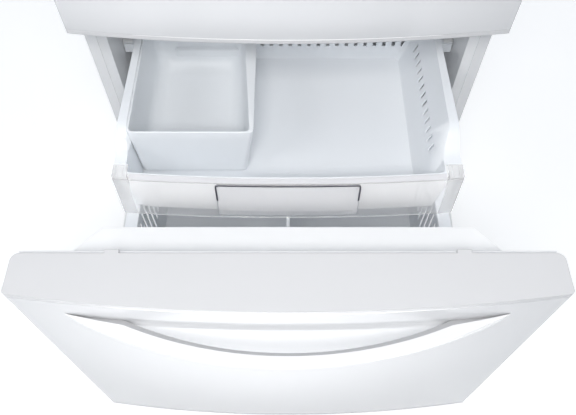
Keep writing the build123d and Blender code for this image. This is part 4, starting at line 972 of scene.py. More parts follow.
@dataclass
class ClearFront:
    """Clear bowed front of the freezer tray with its lip, end blocks and grip plate, in millimetres."""

    wall: float = 3.0
    lean: float = 8.0
    bow: float = 13.0
    corner: float = 4.0
    tray_face: float = -291.0
    tray_bow: float = 14.0
    tray_half: float = 340.0
    seat: float = 0.3
    block_width: float = 30.0
    block_height: float = 30.0
    cap_sheet: float = 2.0
    cap_pieces: int = 10
    cap_ribs: int = 2
    rib_half: float = 1.0
    rib_rise: float = 1.0
    rib_inset: float = 0.1
    rib_lead: float = 0.7
    rib_spare: float = 0.4
    panel_top_half: float = 325.0
    panel_low_half: float = 306.0
    panel_sheet: float = 2.0
    panel_low: float = 413.5
    plate_corner: float = 8.0
    plate_sheet: float = 3.0
    # painted shadow: sizes of the dark and faint lines that paint the shade in the gap round the grip plate
    shadow_width: float = 3.4
    faint_shadow_width: float = 1.2
    frame_share: float = 0.5
    frame_sheet: float = 0.4
    frame_lift: float = 0.05
    soft_edge: float = 0.6
    lip_edge: float = 0.8
    panel_edge: float = 0.7
    shell_rows: int = 4
    corner_steps: int = 6
    pieces: int = 48
    low: Vector = field(init=False)
    high: Vector = field(init=False)

    def __post_init__(self) -> None:
        """Reads the place of the clear front."""
        self.low, self.high = box_of("tray_front")

    def face(self, x: float, z: float, grow: float = 0.0) -> float:
        """Returns Y of the front's outer face.

        Args:
            x: Place across.
            z: Place upwards.
            grow: How far the face is moved forwards.

        Returns:
            Y in millimetres, on the rounded corners too.
        """
        half = self.high.x
        y = self.low.y - grow + arc_rise(x, half, self.bow)
        y += self.lean * (z - self.low.z) / (self.high.z - self.low.z)
        past = abs(x) - (half - self.corner)
        if past > 0:
            y += self.corner - math.sqrt(max(self.corner**2 - past**2, 0.0))
        return y

    def tray_wall(self, x: float) -> float:
        """Returns Y just in front of the tray's own front wall."""
        return self.tray_face - self.seat + arc_rise(x, self.tray_half, self.tray_bow)

    def finish(
        self,
        mesh: Mesh,
        name: str,
        finish: str,
        slot: Optional[str] = None,
        stands_for: Optional[str] = None,
        sharp: float = 25.0,
    ) -> None:
        """Turns the faces of a mesh drawn in millimetres outwards and makes it a piece of the tray.

        Args:
            mesh: The mesh.
            name: The piece's name.
            finish: Name of its finish.
            slot: The record's slot for it, or None where the finish has that slot's name.
            stands_for: CAD node that it replaces.
            sharp: Angle in degrees above which an edge stays sharp.
        """
        face_outwards(mesh)
        place_piece(name, mesh, finish, "tray", slot, stands_for, sharp)

    def build_shell(self) -> None:
        """Builds the bent clear sheet, with a greyer, less clear finish where it turns the corners, painted
        shade for the grey look of its doubled layers there.
        """
        low, high = self.low, self.high
        top = high.z - self.wall - self.seat
        mesh = box_mesh(low, (high.x, high.y, top))
        gone = [face for face in mesh.faces if abs(face.normal.z) > STRAIGHT or face.normal.y > STRAIGHT]
        bmesh.ops.delete(mesh, geom=gone, context="FACES")
        slice_along(mesh, 2, low.z, top, self.shell_rows)
        slice_along(mesh, 0, low.x, high.x, self.pieces)
        steps = self.corner_steps
        turns = [self.corner * (1 - math.sin(step * math.pi / (2 * steps))) for step in range(steps)]
        for side in (-1, 1):
            cut_at(mesh, 0, [side * (high.x - turn) for turn in turns + [self.block_width]])

        def bend(point: Vector) -> Vector:
            """Bows the front and lets the sides start behind its corners.

            Args:
                point: The point to move.

            Returns:
                Its new place.
            """
            if point.y < low.y + 1:
                point.y = self.face(point.x, point.z)
            return point

        reshape(mesh, bend)
        face_outwards(mesh)
        front = foremost(mesh)
        if front.normal.y > 0:
            turn_over(mesh)
        bmesh.ops.solidify(mesh, geom=mesh.faces[:], thickness=self.wall)
        # painted shade: faces near the ends take the greyer, less clear second finish, for the grey look of
        # the doubled corner layers
        for face in mesh.faces:
            face.material_index = int(abs(face.calc_center_median().x) > high.x - self.block_width)
        place_piece(
            "tray_clear_front",
            mesh,
            "clear_plastic",
            "tray",
            stands_for="tray_front",
            second="shaded_clear_plastic",
        )

    def build_lip(self) -> None:
        """Builds the flat lip between the clear sheet and the tray."""
        high = self.high
        inner = self.tray_half - self.block_width + self.wall
        mesh = box_mesh((-inner, 0, high.z - self.wall), (inner, 1, high.z))
        slice_along(mesh, 0, -inner, inner, self.pieces)

        def bend(point: Vector) -> Vector:
            """Lays the strip between the sheet's face and the tray's wall.

            Args:
                point: The point to move.

            Returns:
                Its new place.
            """
            front = self.face(point.x, high.z)
            point.y = front + (self.tray_wall(point.x) - front) * point.y
            return point

        reshape(mesh, bend)
        round_edges(mesh, self.lip_edge, 2, folded)
        self.finish(mesh, "tray_lip", "milky_plastic", "clear_plastic")

    def build_blocks(self) -> None:
        """Builds the thick ribbed blocks at the lip's ends."""
        high = self.high
        base = high.z + self.seat
        mesh = bmesh.new()
        for side in (-1, 1):
            inner = high.x - self.block_width
            cap = box_mesh((inner, 0, base), (high.x, 1, base + self.cap_sheet))
            slice_along(cap, 0, inner, high.x, self.cap_pieces)
            for rib in range(self.cap_ribs):
                place = inner + self.block_width * (rib + self.rib_lead) / (self.cap_ribs + self.rib_spare)
                start = (place - self.rib_half, self.rib_inset, base + self.rib_rise)
                end = (place + self.rib_half, 1 - self.rib_inset, base + self.cap_sheet + self.rib_rise)
                join(cap, box_mesh(start, end))

            def bend(point: Vector) -> Vector:
                """Lays the cap between the bowed face and the cover's rear edge."""
                front = self.face(point.x, high.z)
                return Vector((side * point.x, front + (high.y - front) * point.y, point.z))

            reshape(cap, bend)
            join(mesh, cap)
            rear = self.tray_wall(self.tray_half)
            web = box_mesh(
                (inner, self.face(inner, high.z, -self.wall), high.z - self.block_height),
                (inner + self.wall, rear, high.z),
            )
            reshape(web, lambda point: Vector((side * point.x, point.y, point.z)))
            join(mesh, web)
        face_outwards(mesh)
        round_edges(mesh, self.soft_edge, 2, folded)
        # painted shade: the blocks take the greyer, less clear copy of the clear plastic, for the grey look
        # of their thick layers
        self.finish(mesh, "tray_end_blocks", "shaded_clear_plastic", "clear_plastic", sharp=30.0)

    def build_panel(self) -> None:
        """Builds the white panel behind the clear sheet."""
        top = self.high.z - self.wall - self.seat
        mesh = box_mesh((-1, 0, self.panel_low), (1, 1, top))
        slice_along(mesh, 0, -1, 1, self.pieces)

        def bend(point: Vector) -> Vector:
            """Widens the panel upwards and bows it like the tray's wall.

            Args:
                point: The point to move.

            Returns:
                Its new place.
            """
            rise = (point.z - self.panel_low) / (top - self.panel_low)
            half = self.panel_low_half + (self.panel_top_half - self.panel_low_half) * rise
            x = half * point.x
            return Vector((x, self.tray_wall(x) - self.seat - self.panel_sheet * (1 - point.y), point.z))

        reshape(mesh, bend)
        round_edges(mesh, self.panel_edge, 2, folded)
        self.finish(mesh, "tray_front_panel", "panel_white", "tray_white")

    def plate(self, grow: float) -> Mesh:
        """Makes a flat rounded plate of the grip's outline.

        Args:
            grow: How much larger than the grip plate it is all round.

        Returns:
            The plate, one unit thick.
        """
        low, high = box_of("tray_grip")
        mesh = box_mesh((low.x - grow, 0, low.z - grow), (high.x + grow, 1, high.z + grow))
        round_edges(mesh, self.plate_corner + grow, 5, along(1))
        return mesh

    def lay_on_face(self, mesh: Mesh, depth: float) -> None:
        """Bends a flat plate on to the clear sheet's face.

        Args:
            mesh: The plate, one unit thick.
            depth: Its thickness there.
        """

        def bend(point: Vector) -> Vector:
            """Sets the point in front of the sheet."""
            point.y = self.face(point.x, point.z, self.seat) - depth * (1 - point.y)
            return point

        slice_along(mesh, 0, -self.high.x / 2, self.high.x / 2, self.pieces)
        reshape(mesh, bend)

    def build_plate(self) -> None:
        """Builds the clear grip plate."""
        mesh = self.plate(0)
        self.lay_on_face(mesh, self.plate_sheet)
        round_edges(mesh, self.soft_edge, 2, folded)
        self.finish(mesh, "tray_grip_plate", "grip_grey", stands_for="tray_grip")

    def build_shadow_line(self, name: str, width: float, upper: bool, finish: str) -> None:
        """Builds the dark or the faint part of the painted shadow line round the grip plate, which stands in
        for the shade in the gap round it.

        Args:
            name: The piece's name.
            width: Width of the line.
            upper: True for the part above the plate's middle.
            finish: Name of its finish.
        """
        low, high = box_of("tray_grip")
        middle = high.z - (high.z - low.z) * self.frame_share
        mesh = self.plate(0)
        front = foremost(mesh)
        bmesh.ops.delete(mesh, geom=[face for face in mesh.faces if face is not front], context="FACES")
        front = mesh.faces[:][0]
        bmesh.ops.inset_region(mesh, faces=[front], thickness=width, use_even_offset=True, use_boundary=True)
        bmesh.ops.delete(mesh, geom=[front], context="FACES")
        bmesh.ops.bisect_plane(
            mesh,
            geom=whole(mesh),
            dist=CUT_REACH,
            plane_co=(0, 0, middle),
            plane_no=(0, 0, 1),
            clear_inner=upper,
            clear_outer=not upper,
        )
        slice_along(mesh, 0, -self.high.x / 2, self.high.x / 2, self.pieces)
        reach = self.plate_sheet + self.seat

        def bend(point: Vector) -> Vector:
            """Lays the line on the plate's face."""
            point.y = self.face(point.x, point.z, reach + self.frame_lift)
            return point

        reshape(mesh, bend)
        face_outwards(mesh)
        if sum(face.normal.y for face in mesh.faces) > 0:
            turn_over(mesh)
        bmesh.ops.solidify(mesh, geom=mesh.faces[:], thickness=-self.frame_sheet)
        self.finish(mesh, name, finish, "grip_grey")

    def build(self) -> None:
        """Builds every piece of the clear front."""
        self.build_shell()
        self.build_lip()
        self.build_blocks()
        self.build_panel()
        self.build_plate()
        # painted shadow: a dark line round the grip plate's upper part and a faint one round its lower part
        self.build_shadow_line("tray_grip_shadow_line", self.shadow_width, True, "shadow_line_grey")
        self.build_shadow_line("tray_grip_faint_shadow_line", self.faint_shadow_width, False, "button_grey")


# ------------------------------------------------------------------ ice bin


@dataclass
class IceBin:
    """Loose moulded bin with rounded inside and a wide right rim, in millimetres."""

    left_draft: float = 5.0
    right_draft: float = 19.0
    end_draft: float = 5.0
    wall: float = 2.5
    rim: float = 4.0
    rim_right_front: float = 8.0
    rim_right_rear: float = 34.0
    corner: float = 9.0
    outer_floor: float = 14.0
    inner_floor: float = 40.0
    ledge_top: float = 88.0
    ledge_height: float = 20.0
    ledge_depth: float = 10.0
    ledge_left: float = 53.0
    ledge_right: float = 43.0
    ledge_round: float = 4.0
    rim_round: float = 1.4

    def wide_rim(self, low: Vector, high: Vector, point: Vector) -> Vector:
        """Moves the right inner wall in, more at the rear.

        Args:
            low: Lower corner of the bin's box.
            high: Upper corner of the bin's box.
            point: The point to move.

        Returns:
            Its new place.
        """
        across = (point.x - low.x) / (high.x - low.x)
        back = (point.y - low.y) / (high.y - low.y)
        wide = self.rim_right_front + (self.rim_right_rear - self.rim_right_front) * back - self.rim
        point.x -= wide * max(0.0, 2 * across - 1)
        return point

    def taper(self, low: Vector, high: Vector, point: Vector) -> Vector:
        """Draws the walls in towards the floor.

        Args:
            low: Lower corner of the bin's box.
            high: Upper corner of the bin's box.
            point: The point to move.

        Returns:
            Its new place.
        """
        deep = (high.z - point.z) / (high.z - low.z)
        across = (point.x - low.x) / (high.x - low.x)
        back = (point.y - low.y) / (high.y - low.y)
        point.x += deep * (self.left_draft * (1 - across) - self.right_draft * across)
        point.y += deep * self.end_draft * (1 - 2 * back)
        return point

    def build_tub(self) -> None:
        """Builds the bin's body in place of its CAD solid."""
        low, high = box_of("ice_bin")
        outer = soft_tub(low, high, self.corner, self.outer_floor)
        start = low + Vector((self.rim, self.rim, self.wall))
        inner = soft_tub(start, high - Vector((self.rim, self.rim, 0)), self.corner, self.inner_floor)
        turn_over(inner)
        reshape(inner, lambda point: self.wide_rim(low, high, point))
        join(outer, inner)
        rims = [edge for edge in outer.edges if len(edge.link_faces) == 1]
        bmesh.ops.bridge_loops(outer, edges=rims)
        reshape(outer, lambda point: self.taper(low, high, point))
        top = high.z - 0.01

        def on_rim(edge: Edge) -> bool:
            """True for a hard edge along the rim."""
            return all(vert.co.z > top for vert in edge.verts) and folded(edge)

        round_edges(outer, self.rim_round, 3, on_rim)
        face_outwards(outer)
        place_piece("ice_bin_tub", outer, "bin_white", "ice_bin", stands_for="ice_bin", sharp=50.0)

    def build_ledge(self) -> None:
        """Builds the shallow ledge along the rear of the bin's inside."""
        low, high = box_of("ice_bin")
        rear = high.y - self.rim
        top = high.z - self.ledge_top
        mesh = box_mesh(
            (low.x + self.ledge_left, rear - self.end_draft - self.ledge_depth, top - self.ledge_height),
            (high.x - self.ledge_right, rear, top),
        )
        open_side = [edge for edge in mesh.edges if all(face.normal.y < STRAIGHT for face in edge.link_faces)]
        round_edges(mesh, self.ledge_round, 4, lambda edge: edge in open_side)
        face_outwards(mesh)
        place_piece("ice_bin_ledge", mesh, "bin_white", "ice_bin")

    def build(self) -> None:
        """Builds the bin's body and its ledge."""
        self.build_tub()
        self.build_ledge()


# ------------------------------------------------------------------ tray, basket and other moulded tubs


def merged_copy(node: str) -> Mesh:
    """Copies a CAD node's mesh as one closed skin with plain faces.

    Args:
        node: The node's name.

    Returns:
        The copy, in millimetres.
    """
    mesh = bmesh.new()
    mesh.from_mesh(frame["nodes"][node].data)
    bmesh.ops.remove_doubles(mesh, verts=mesh.verts[:], dist=1e-5)
    bmesh.ops.dissolve_limit(mesh, angle_limit=math.radians(0.6), verts=mesh.verts[:], edges=mesh.edges[:])
    bmesh.ops.scale(mesh, vec=(1 / MM, 1 / MM, 1 / MM), verts=mesh.verts[:])
    return mesh


@dataclass
class MouldedTub:
    """Moulded tub copied from its solid, with its inner floor edge and corners rounded, in millimetres."""

    name: str
    node: str
    body: str
    finish: str
    floor: float
    floor_round: float
    corner_round: float
    floor_reach: float = 0.05
    least_corner: float = 40.0

    def floor_edge(self, edge: Edge) -> bool:
        """True for an edge where the inner floor meets a wall."""
        level = all(abs(vert.co.z - self.floor) < self.floor_reach for vert in edge.verts)
        return level and len(edge.link_faces) == 2 and not edge.is_convex

    def corner_edge(self, edge: Edge) -> bool:
        """Tells whether an edge is an upright inner corner.

        Args:
            edge: The edge.

        Returns:
            True where it is.
        """
        run = edge.verts[1].co - edge.verts[0].co
        upright = abs(run.z) > 0.8 * run.length and run.length > self.least_corner
        return upright and len(edge.link_faces) == 2 and not edge.is_convex and folded(edge)

    def build(self) -> None:
        """Builds the tub in place of its CAD solid."""
        mesh = merged_copy(self.node)
        round_edges(mesh, self.corner_round, 5, self.corner_edge)
        mesh.normal_update()
        round_edges(mesh, self.floor_round, 6, self.floor_edge)
        place_piece(self.name, mesh, self.finish, self.body, stands_for=self.node, sharp=32.0)


# ------------------------------------------------------------------ trims, softened nodes and fasteners


@dataclass
class HighlightBead:
    """Thin near-white bead along the bowed front edge of a door's end cap, in millimetres, a painted
    highlight for the bright line that the edge catches.
    """

    name: str
    body: str
    crown: float
    level: float
    bow: float = 28.5
    half: float = 405.0
    width: float = 1.6
    proud: float = 0.7
    pieces: int = 64

    def build(self) -> None:
        """Builds the bead."""
        low = self.level - self.width / 2
        mesh = box_mesh((-self.half, 0, low), (self.half, self.proud + 1, low + self.width))
        round_edges(mesh, self.width / 3, 2, along(0))
        slice_along(mesh, 0, -self.half, self.half, self.pieces)

        def bend(point: Vector) -> Vector:
            """Lays the bead on the bowed face."""
            point.y += self.crown - self.proud + arc_rise(point.x, self.half, self.bow)
            return point

        reshape(mesh, bend)
        face_outwards(mesh)
        place_piece(self.name, mesh, "highlight_white", self.body, "white_cap")


@dataclass
class RoundedNode:
    """CAD node whose sharp edges are rounded, with the width in millimetres."""

    node: str
    body: str
    slot: str
    width: float = 1.0
    segments: int = 2
    angle: float = 35.0

    def build(self) -> None:
        """Builds the rounded copy in place of the node."""
        mesh = merged_copy(self.node)
        bmesh.ops.dissolve_limit(
            mesh,
            angle_limit=math.radians(1.0),
            verts=mesh.verts[:],
            edges=mesh.edges[:],
            use_dissolve_boundaries=False,
        )
        sharp = math.radians(self.angle)
        round_edges(
            mesh,
            self.width,
            self.segments,
            lambda edge: len(edge.link_faces) == 2 and edge.calc_face_angle(0) > sharp,
        )
        bmesh.ops.dissolve_degenerate(mesh, dist=0.01, edges=mesh.edges[:])
        look = PALETTE.OTHER_LOOKS.get(self.node, self.slot)
        place_piece(f"{self.node}_rounded", mesh, look, self.body, self.slot, self.node)


@dataclass
class RibbedSeal:
    """Magnetic door seal with a grooved face and pleated sides, in millimetres."""

    node: str
    body: str
    width: float = 16.0
    edge: float = 1.5
    groove: float = 2.0
    groove_rim: float = 0.28
    groove_floor: float = 0.36
    pleat: float = 1.6

    def profile(self, front: float, rear: float) -> List[Pair]:
        """Returns the seal's section as steps inwards and places in depth.

        Args:
            front: Y where it meets the door.
            rear: Y of its face towards the case.

        Returns:
            The corners of the section, in order round it.
        """
        middle = (front + rear) / 2
        half = [
            (0.0, front),
            (0.0, middle - self.pleat),
            (self.pleat, middle),
            (0.0, middle + self.pleat),
            (0.0, rear - self.edge),
            (self.edge, rear),
            (self.width * self.groove_rim, rear),
            (self.width * self.groove_floor, rear - self.groove),
        ]
        return half + [(self.width - step, place) for step, place in reversed(half)]

    def build(self) -> None:
        """Builds the seal in place of its CAD solid."""
        low, high = box_of(self.node)
        middle, half = (low + high) / 2, (high - low) / 2
        mesh = bmesh.new()
        turn = Matrix.Translation(middle) @ Matrix.Rotation(math.radians(90), 4, "X")
        made = bmesh.ops.create_grid(mesh, x_segments=1, y_segments=1, size=1.0, matrix=turn)
        corners = made["verts"]
        face = corners[0].link_faces[0]
        edges = list(face.edges)
        bmesh.ops.delete(mesh, geom=[face], context="FACES_ONLY")
        section = self.profile(low.y, high.y)
        for number, (step, place) in enumerate(section + section[:1]):
            if number:
                geom = bmesh.ops.extrude_edge_only(mesh, edges=edges)["geom"]
                corners = [part for part in geom if isinstance(part, bmesh.types.BMVert)]
                edges = [
                    part
                    for part in geom
                    if isinstance(part, Edge) and all(end in corners for end in part.verts)
                ]
            for vert in corners:
                vert.co.x = middle.x + math.copysign(half.x - step, vert.co.x - middle.x)
                vert.co.z = middle.z + math.copysign(half.z - step, vert.co.z - middle.z)
                vert.co.y = place
        bmesh.ops.remove_doubles(mesh, verts=mesh.verts[:], dist=0.001)
        face_outwards(mesh)
        place_piece(f"{self.node}_ribbed", mesh, "seal_white", self.body, stands_for=self.node)


@dataclass
class Screws:
    """Hex washer-head screws of one sub-assembly, in millimetres."""

    name: str
    body: str
    facing: Triple
    places: Sequence[Triple]
    head: float = 3.8
    washer: float = 5.4
    height: float = 2.0
    recess: float = 1.6
    slot: str = "zinc_steel"
    flange_share: float = 0.35
    flange_taper: float = 0.9
    flange_sides: int = 14

    def one(self, place: Triple) -> Mesh:
        """Makes one screw head, its washer's underside at its place.

        Args:
            place: Middle of the washer's underside.

        Returns:
            The screw head.
        """
        mesh = bmesh.new()
        flange = self.height * self.flange_share
        for sides, under, over, depth in (
            (self.flange_sides, self.washer, self.washer * self.flange_taper, flange),
            (6, self.head, self.head, self.height),
        ):
            bmesh.ops.create_cone(
                mesh,
                cap_ends=True,
                segments=sides,
                radius1=under,
                radius2=over,
                depth=depth,
                matrix=Matrix.Translation((0, 0, depth / 2)),
            )
        mesh.normal_update()
        upward = [face for face in mesh.faces if face.normal.z > STRAIGHT]
        caps = [face for face in upward if face.calc_center_median().z > flange + 0.1]
        bmesh.ops.inset_region(mesh, faces=caps, thickness=self.recess, use_boundary=True)
        bmesh.ops.translate(mesh, verts=list(caps[0].verts), vec=(0, 0, -self.height / 3))
        turn = Vector((0, 0, 1)).rotation_difference(Vector(self.facing)).to_matrix().to_4x4()
        bmesh.ops.transform(mesh, matrix=Matrix.Translation(Vector(place)) @ turn, verts=mesh.verts[:])
        return mesh

    def build(self) -> None:
        """Builds all the screws as one piece."""
        mesh = bmesh.new()
        for place in self.places:
            join(mesh, self.one(place))
        place_piece(self.name, mesh, self.slot, self.body, sharp=30.0)


@dataclass
class Fins:
    """Pack of thin plates that cross a coil's straight tubes, in millimetres."""

    name: str
    node: str
    pitch: float
    sheet: float = 0.3
    inset: float = 14.0
    margin: float = 2.0
    fold: float = 2.0
    fold_reach: float = 1.0

    def build(self) -> None:
        """Builds the plates, each with a folded front edge."""
        low, high = box_of(self.node)
        mesh = bmesh.new()
        count = int((high.x - low.x - 2 * self.inset) / self.pitch)
        for step in range(count + 1):
            place = low.x + self.inset + step * self.pitch
            start = (place, low.y + self.margin, low.z + self.margin)
            plate = box_mesh(start, (place + self.sheet, high.y - self.margin, high.z - self.margin))
            front = [face for face in plate.faces if face.normal.y < -STRAIGHT]
            made = bmesh.ops.extrude_discrete_faces(plate, faces=front)
            ends = list({vert for face in made["faces"] for vert in face.verts})
            bmesh.ops.translate(plate, verts=ends, vec=(self.fold, -self.fold_reach, 0))
            join(mesh, plate)
        place_piece(self.name, mesh, "aluminium", "cabinet", sharp=30.0)


@dataclass
class CompressorFittings:
    """Terminal cover and copper stubs of the compressor, in millimetres."""

    cover_low: float = 132.0
    cover_size: Triple = (46.0, 18.0, 52.0)
    cover_proud: float = 6.0
    cover_round: float = 5.0
    cover_rim: float = 6.0
    cover_dish: float = 1.2
    stub_radius: float = 4.0
    bend_radius: float = 18.0
    stubs: Tuple[Pair, ...] = ((0.4, 0.62), (1.0, 0.7), (2.2, 0.66))

    def build_cover(self, low: Vector, high: Vector) -> None:
        """Builds the terminal cover.

        Args:
            low: Lower corner of the compressor's box.
            high: Upper corner of the compressor's box.
        """
        middle = (low + high) / 2
        wide, deep, tall = self.cover_size
        mesh = box_mesh(
            (middle.x - wide / 2, low.y - self.cover_proud, self.cover_low),
            (middle.x + wide / 2, low.y + deep, self.cover_low + tall),
        )
        round_edges(mesh, self.cover_round, 4)
        face = foremost(mesh)
        bmesh.ops.inset_region(mesh, faces=[face], thickness=self.cover_rim, depth=-self.cover_dish)
        place_piece("compressor_terminal_cover", mesh, "black_plastic", "cabinet")

    def build_stubs(self, low: Vector, high: Vector) -> None:
        """Builds the three bent copper stubs.

        Args:
            low: Lower corner of the compressor's box.
            high: Upper corner of the compressor's box.
        """
        mesh = bmesh.new()
        for turn, level in self.stubs:
            stub = bmesh.new()
            bmesh.ops.create_circle(
                stub,
                segments=16,
                radius=self.stub_radius,
                matrix=Matrix.Translation((self.bend_radius, 0, 0)),
            )
            bmesh.ops.spin(
                stub,
                geom=stub.verts[:] + stub.edges[:],
                cent=(0, 0, 0),
                axis=(0, 1, 0),
                angle=math.radians(90),
                steps=10,
            )
            rims = [edge for edge in stub.edges if len(edge.link_faces) == 1]
            bmesh.ops.contextual_create(stub, geom=rims)
            bmesh.ops.holes_fill(stub, edges=stub.edges[:])
            face_outwards(stub)
            middle = (low + high) / 2
            reach = (high.x - low.x) / 2 - self.bend_radius - self.stub_radius
            place = Vector((middle.x, middle.y, low.z + (high.z - low.z) * level))
            turned = Matrix.Translation(place) @ Matrix.Rotation(turn, 4, "Z")
            matrix = turned @ Matrix.Translation((reach, 0, 0))
            bmesh.ops.transform(stub, matrix=matrix, verts=stub.verts[:])
            join(mesh, stub)
        place_piece("compressor_stubs", mesh, "copper", "cabinet", "tube_steel")

    def build(self) -> None:
        """Builds the fittings."""
        low, high = box_of("compressor")
        self.build_cover(low, high)
        self.build_stubs(low, high)


@dataclass
class PrismLens:
    """Lamp lens with fine prisms across its lower face, in millimetres."""

    prisms: int = 26
    deep: float = 1.2
    edge: float = 6.0

    def build(self) -> None:
        """Builds the lens in place of its CAD solid."""
        low, high = box_of("lamp_lens")
        mesh = box_mesh(low, high)
        start, end = low.x + self.edge, high.x - self.edge
        cut_at(mesh, 1, (low.y + self.edge, high.y - self.edge))
        slice_along(mesh, 0, start, end, 2 * self.prisms)
        cut_at(mesh, 0, (start, end))
        step = (end - start) / (2 * self.prisms)
        for vert in mesh.verts:
            line = round((vert.co.x - start) / step)
            inside = low.y + 1 < vert.co.y < high.y - 1 and start < vert.co.x < end
            if inside and line % 2 and vert.co.z < low.z + 0.1:
                vert.co.z += self.deep
        face_outwards(mesh)
        place_piece(
            "lamp_lens_prisms", mesh, "lamp_diffuser", "cabinet", stands_for="lamp_lens", sharp=20.0
        )


def rounded_nodes() -> List[RoundedNode]:
    """Lists the nodes whose edges are rounded.

    Returns:
        The nodes with their bodies, finishes and widths.
    """
    rows = {row["node"]: row["material_slot"] for row in frame["record"]["subparts"]}
    bodies = {node: body for body, nodes in frame["record"]["behaviour"]["bodies"].items() for node in nodes}
    widths = {
        "door_bins": 2.0,
        "dairy_lid": 1.5,
        "crisper_left": 2.0,
        "crisper_right": 2.0,
        "tray_rails": 0.8,
        "slide_middles": 0.6,
        "drawer_carriers": 0.8,
        "control_housing": 2.0,
        "mullion_rail": 1.0,
        "freezer_basket": 1.2,
        "basket_divider": 1.0,
        "condenser_fan_frame": 1.0,
        "humidity_left": 0.8,
        "humidity_right": 0.8,
        "door_hinges": 1.0,
        "drain_pan": 2.0,
        "fresh_liner": 4.0,
        "fresh_door_liner": 3.0,
    }
    return [RoundedNode(node, bodies[node], rows[node], width) for node, width in widths.items()]


def all_screws() -> List[Screws]:
    """Lists every group of screws with its places.

    Returns:
        The groups.
    """
    levels = (330.0, 610.0, 890.0, 1170.0, 1450.0, 1700.0)
    sides = [(x, REAR_FACE, z) for x in (-405.0, 405.0) for z in levels]
    across = [(x, REAR_FACE, 1722.0) for x in (-270.0, 0.0, 270.0)]
    cover = [(x, REAR_FACE, z) for x in (-400.0, -135.0, 135.0, 400.0) for z in (60.0, 258.0)]
    duct = [(x, 622.0, z) for x in (-48.0, 48.0) for z in (990.0, 1617.0)]
    grille = [(x, -8.0, 28.0) for x in (-405.0, 405.0)]
    return [
        Screws("rear_panel_screws", "cabinet", (0, 1, 0), sides + across),
        Screws("machine_cover_screws", "cabinet", (0, 1, 0), cover),
        Screws("duct_cover_screws", "cabinet", (0, -1, 0), duct, *SMALL_HEAD, "liner_white"),
        Screws("toe_grille_screws", "cabinet", (0, -1, 0), grille, *SMALL_HEAD),
    ]


# ------------------------------------------------------------------ room, light and camera


@dataclass(frozen=True)
class Lamp:
    """Soft area lamp, its power in watts; mirrored is False where no reflection shows it."""

    name: str
    place: Triple
    aim: Triple
    power: float
    size: Pair
    tint: Triple = (1.0, 1.0, 1.0)
    mirrored: bool = True

    def light(self) -> bpy.types.Light:
        """Makes the area light.

        Returns:
            The light.
        """
        data = bpy.data.lights.new(self.name, "AREA")
        data.shape = "RECTANGLE"
        data.size, data.size_y = self.size
        return data

    def build(self) -> None:
        """Places the lamp."""
        data = self.light()
        data.energy = self.power
        data.color = self.tint
        lamp = add_object(self.name, data)
        lamp.location = self.place
        lamp.visible_glossy = self.mirrored
        lamp.rotation_euler = (Vector(self.aim) - Vector(self.place)).to_track_quat("-Z", "Y").to_euler()


@dataclass(frozen=True)
class PoolLamp(Lamp):
    """Round lamp whose light fades towards the edge of its pool; its size is its radius and its angle."""

    def light(self) -> bpy.types.Light:
        """Makes the spot light.

        Returns:
            The light.
        """
        data = bpy.data.lights.new(self.name, "SPOT")
        data.shadow_soft_size, angle = self.size
        data.spot_size = math.radians(angle)
        data.spot_blend = 1.0
        return data


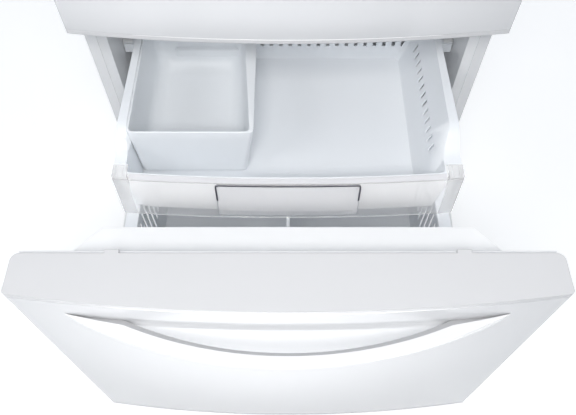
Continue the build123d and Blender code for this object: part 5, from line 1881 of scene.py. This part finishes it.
@dataclass
class Studio:
    """Pale floor, soft lamps and the camera at the photograph's angle."""

    lens: float = 37.43
    sensor: float = 36.0
    pitch: float = 31.421
    camera_place: Triple = (0.0, -0.95165, 1.49976)
    nearest: float = 0.02
    floor_half: float = 9.0
    world_strength: float = 0.34
    world_tint: Triple = (0.87, 0.96, 1.08)
    floor_glow: float = 0.35
    floor_tone: float = 0.9
    floor_roughness: float = 0.9
    lamps: Tuple[Lamp, ...] = (
        Lamp("key_lamp", (0.0, -1.6, 2.4), (0, -0.35, 0.5), 31.0, (1.0, 0.7), (1.0, 0.985, 0.965)),
        Lamp("left_lamp", (-1.7, -1.3, 1.9), (0, -0.3, 0.5), 8.5, (0.8, 0.8)),
        Lamp("right_lamp", (1.7, -1.3, 1.9), (0, -0.3, 0.5), 2.2, (0.8, 0.8)),
        PoolLamp("front_lamp", (-0.05, -2.6, 0.5), (-0.05, -0.4, 0.55), 85.0, (0.15, 26.0), mirrored=False),
        PoolLamp("door_lamp", (-0.1, -2.6, 0.9), (-0.1, -0.1, 0.8), 35.0, (0.3, 18.0), mirrored=False),
        Lamp("rear_left_lamp", (-2.2, 2.6, 1.9), (-0.3, 0.5, 0.9), 18.0, (2.6, 2.2)),
        Lamp("rear_right_lamp", (2.4, 2.2, 1.9), (0.3, 0.5, 0.9), 18.0, (2.6, 2.2)),
    )

    def build_camera(self) -> None:
        """Makes the scene's camera."""
        data = bpy.data.cameras.new("photo_camera")
        data.lens = self.lens
        data.sensor_width = self.sensor
        data.clip_start = self.nearest
        camera = add_object("photo_camera", data)
        camera.location = self.camera_place
        camera.rotation_euler = (math.radians(self.pitch), 0, 0)
        bpy.context.scene.camera = camera

    def white_for_camera(self, tree: Tree) -> Socket:
        """Tells rays that are seen from those that only carry light.

        Args:
            tree: The tree that gets the nodes.

        Returns:
            Socket with 1 for rays from the camera, a mirror or through glass, and 0 for the rest.
        """
        path = tree.nodes.new("ShaderNodeLightPath")
        seen = math_node(tree, "MAXIMUM", path.outputs["Is Camera Ray"], path.outputs["Is Glossy Ray"])
        return math_node(tree, "MAXIMUM", seen, path.outputs["Is Transmission Ray"])

    def build_floor(self) -> None:
        """Makes the plain floor."""
        mesh = bmesh.new()
        bmesh.ops.create_grid(mesh, x_segments=1, y_segments=1, size=self.floor_half)
        data = bpy.data.meshes.new("studio_floor")
        mesh.to_mesh(data)
        mesh.free()
        floor = add_object("studio_floor", data)
        material, tree, shader = blank_material("studio_floor")
        tones = {"Base Color": (*[self.floor_tone] * 3, 1), "Emission Color": (1, 1, 1, 1)}
        set_inputs(shader, {"Roughness": self.floor_roughness, "Specular IOR Level": 0.0, **tones})
        glow = math_node(tree, "MULTIPLY", self.white_for_camera(tree), self.floor_glow)
        link(tree, glow, shader.inputs["Emission Strength"])
        data.materials.append(material)

    def build_world(self) -> None:
        """Sets an even white surround."""
        world = bpy.data.worlds.new("studio_world")
        world.use_nodes = True
        tree = world.node_tree
        background = tree.nodes["Background"]
        mix = tree.nodes.new("ShaderNodeMix")
        mix.data_type = "RGBA"
        link(tree, self.white_for_camera(tree), mix.inputs["Factor"])
        set_inputs(mix, {"A": (*self.world_tint, 1), "B": (1, 1, 1, 1)})
        link(tree, mix.outputs["Result"], background.inputs["Color"])
        lift = math_node(tree, "MULTIPLY", self.white_for_camera(tree), 1.0 - self.world_strength)
        link(tree, math_node(tree, "ADD", lift, self.world_strength), background.inputs["Strength"])
        bpy.context.scene.world = world

    def build(self) -> None:
        """Builds the floor, world, lamps and camera, and sets the plain colour view."""
        bpy.context.scene.view_settings.view_transform = "Standard"
        self.build_floor()
        self.build_world()
        self.build_camera()
        for lamp in self.lamps:
            lamp.build()
        LOG.info("studio ready")


def main() -> None:
    logging.basicConfig(level=logging.INFO, format="%(name)s: %(message)s")
    PALETTE.dress_nodes()
    BowHandle("drawer_bow_handle", "drawer_handle", "freezer_drawer", Run.ACROSS, DRAWER_CROWN).build()
    BowHandle("door_bow_handle", "fresh_door_handle", "fresh_door", Run.UPRIGHT, DOOR_CROWN).build()
    ClearFront().build()
    IceBin().build()
    # painted highlight: bright beads along the caps' front edges
    HighlightBead("drawer_edge_highlight", "freezer_drawer", DRAWER_CROWN, 686.5).build()
    HighlightBead("door_edge_highlight", "fresh_door", DOOR_CROWN, 721.5).build()
    for part in rounded_nodes() + all_screws():
        part.build()
    for seal, body in (("fresh_door_gasket", "fresh_door"), ("drawer_gasket", "freezer_drawer")):
        RibbedSeal(seal, body).build()
    Fins("evaporator_fins", "evaporator_coil", 8.0).build()
    CompressorFittings().build()
    PrismLens().build()
    MouldedTub("tray_tub", "freezer_tray", "tray", "tray_white", 416.0, 20.0, 10.0).build()
    Studio().build()


if __name__ == "__main__":
    main()
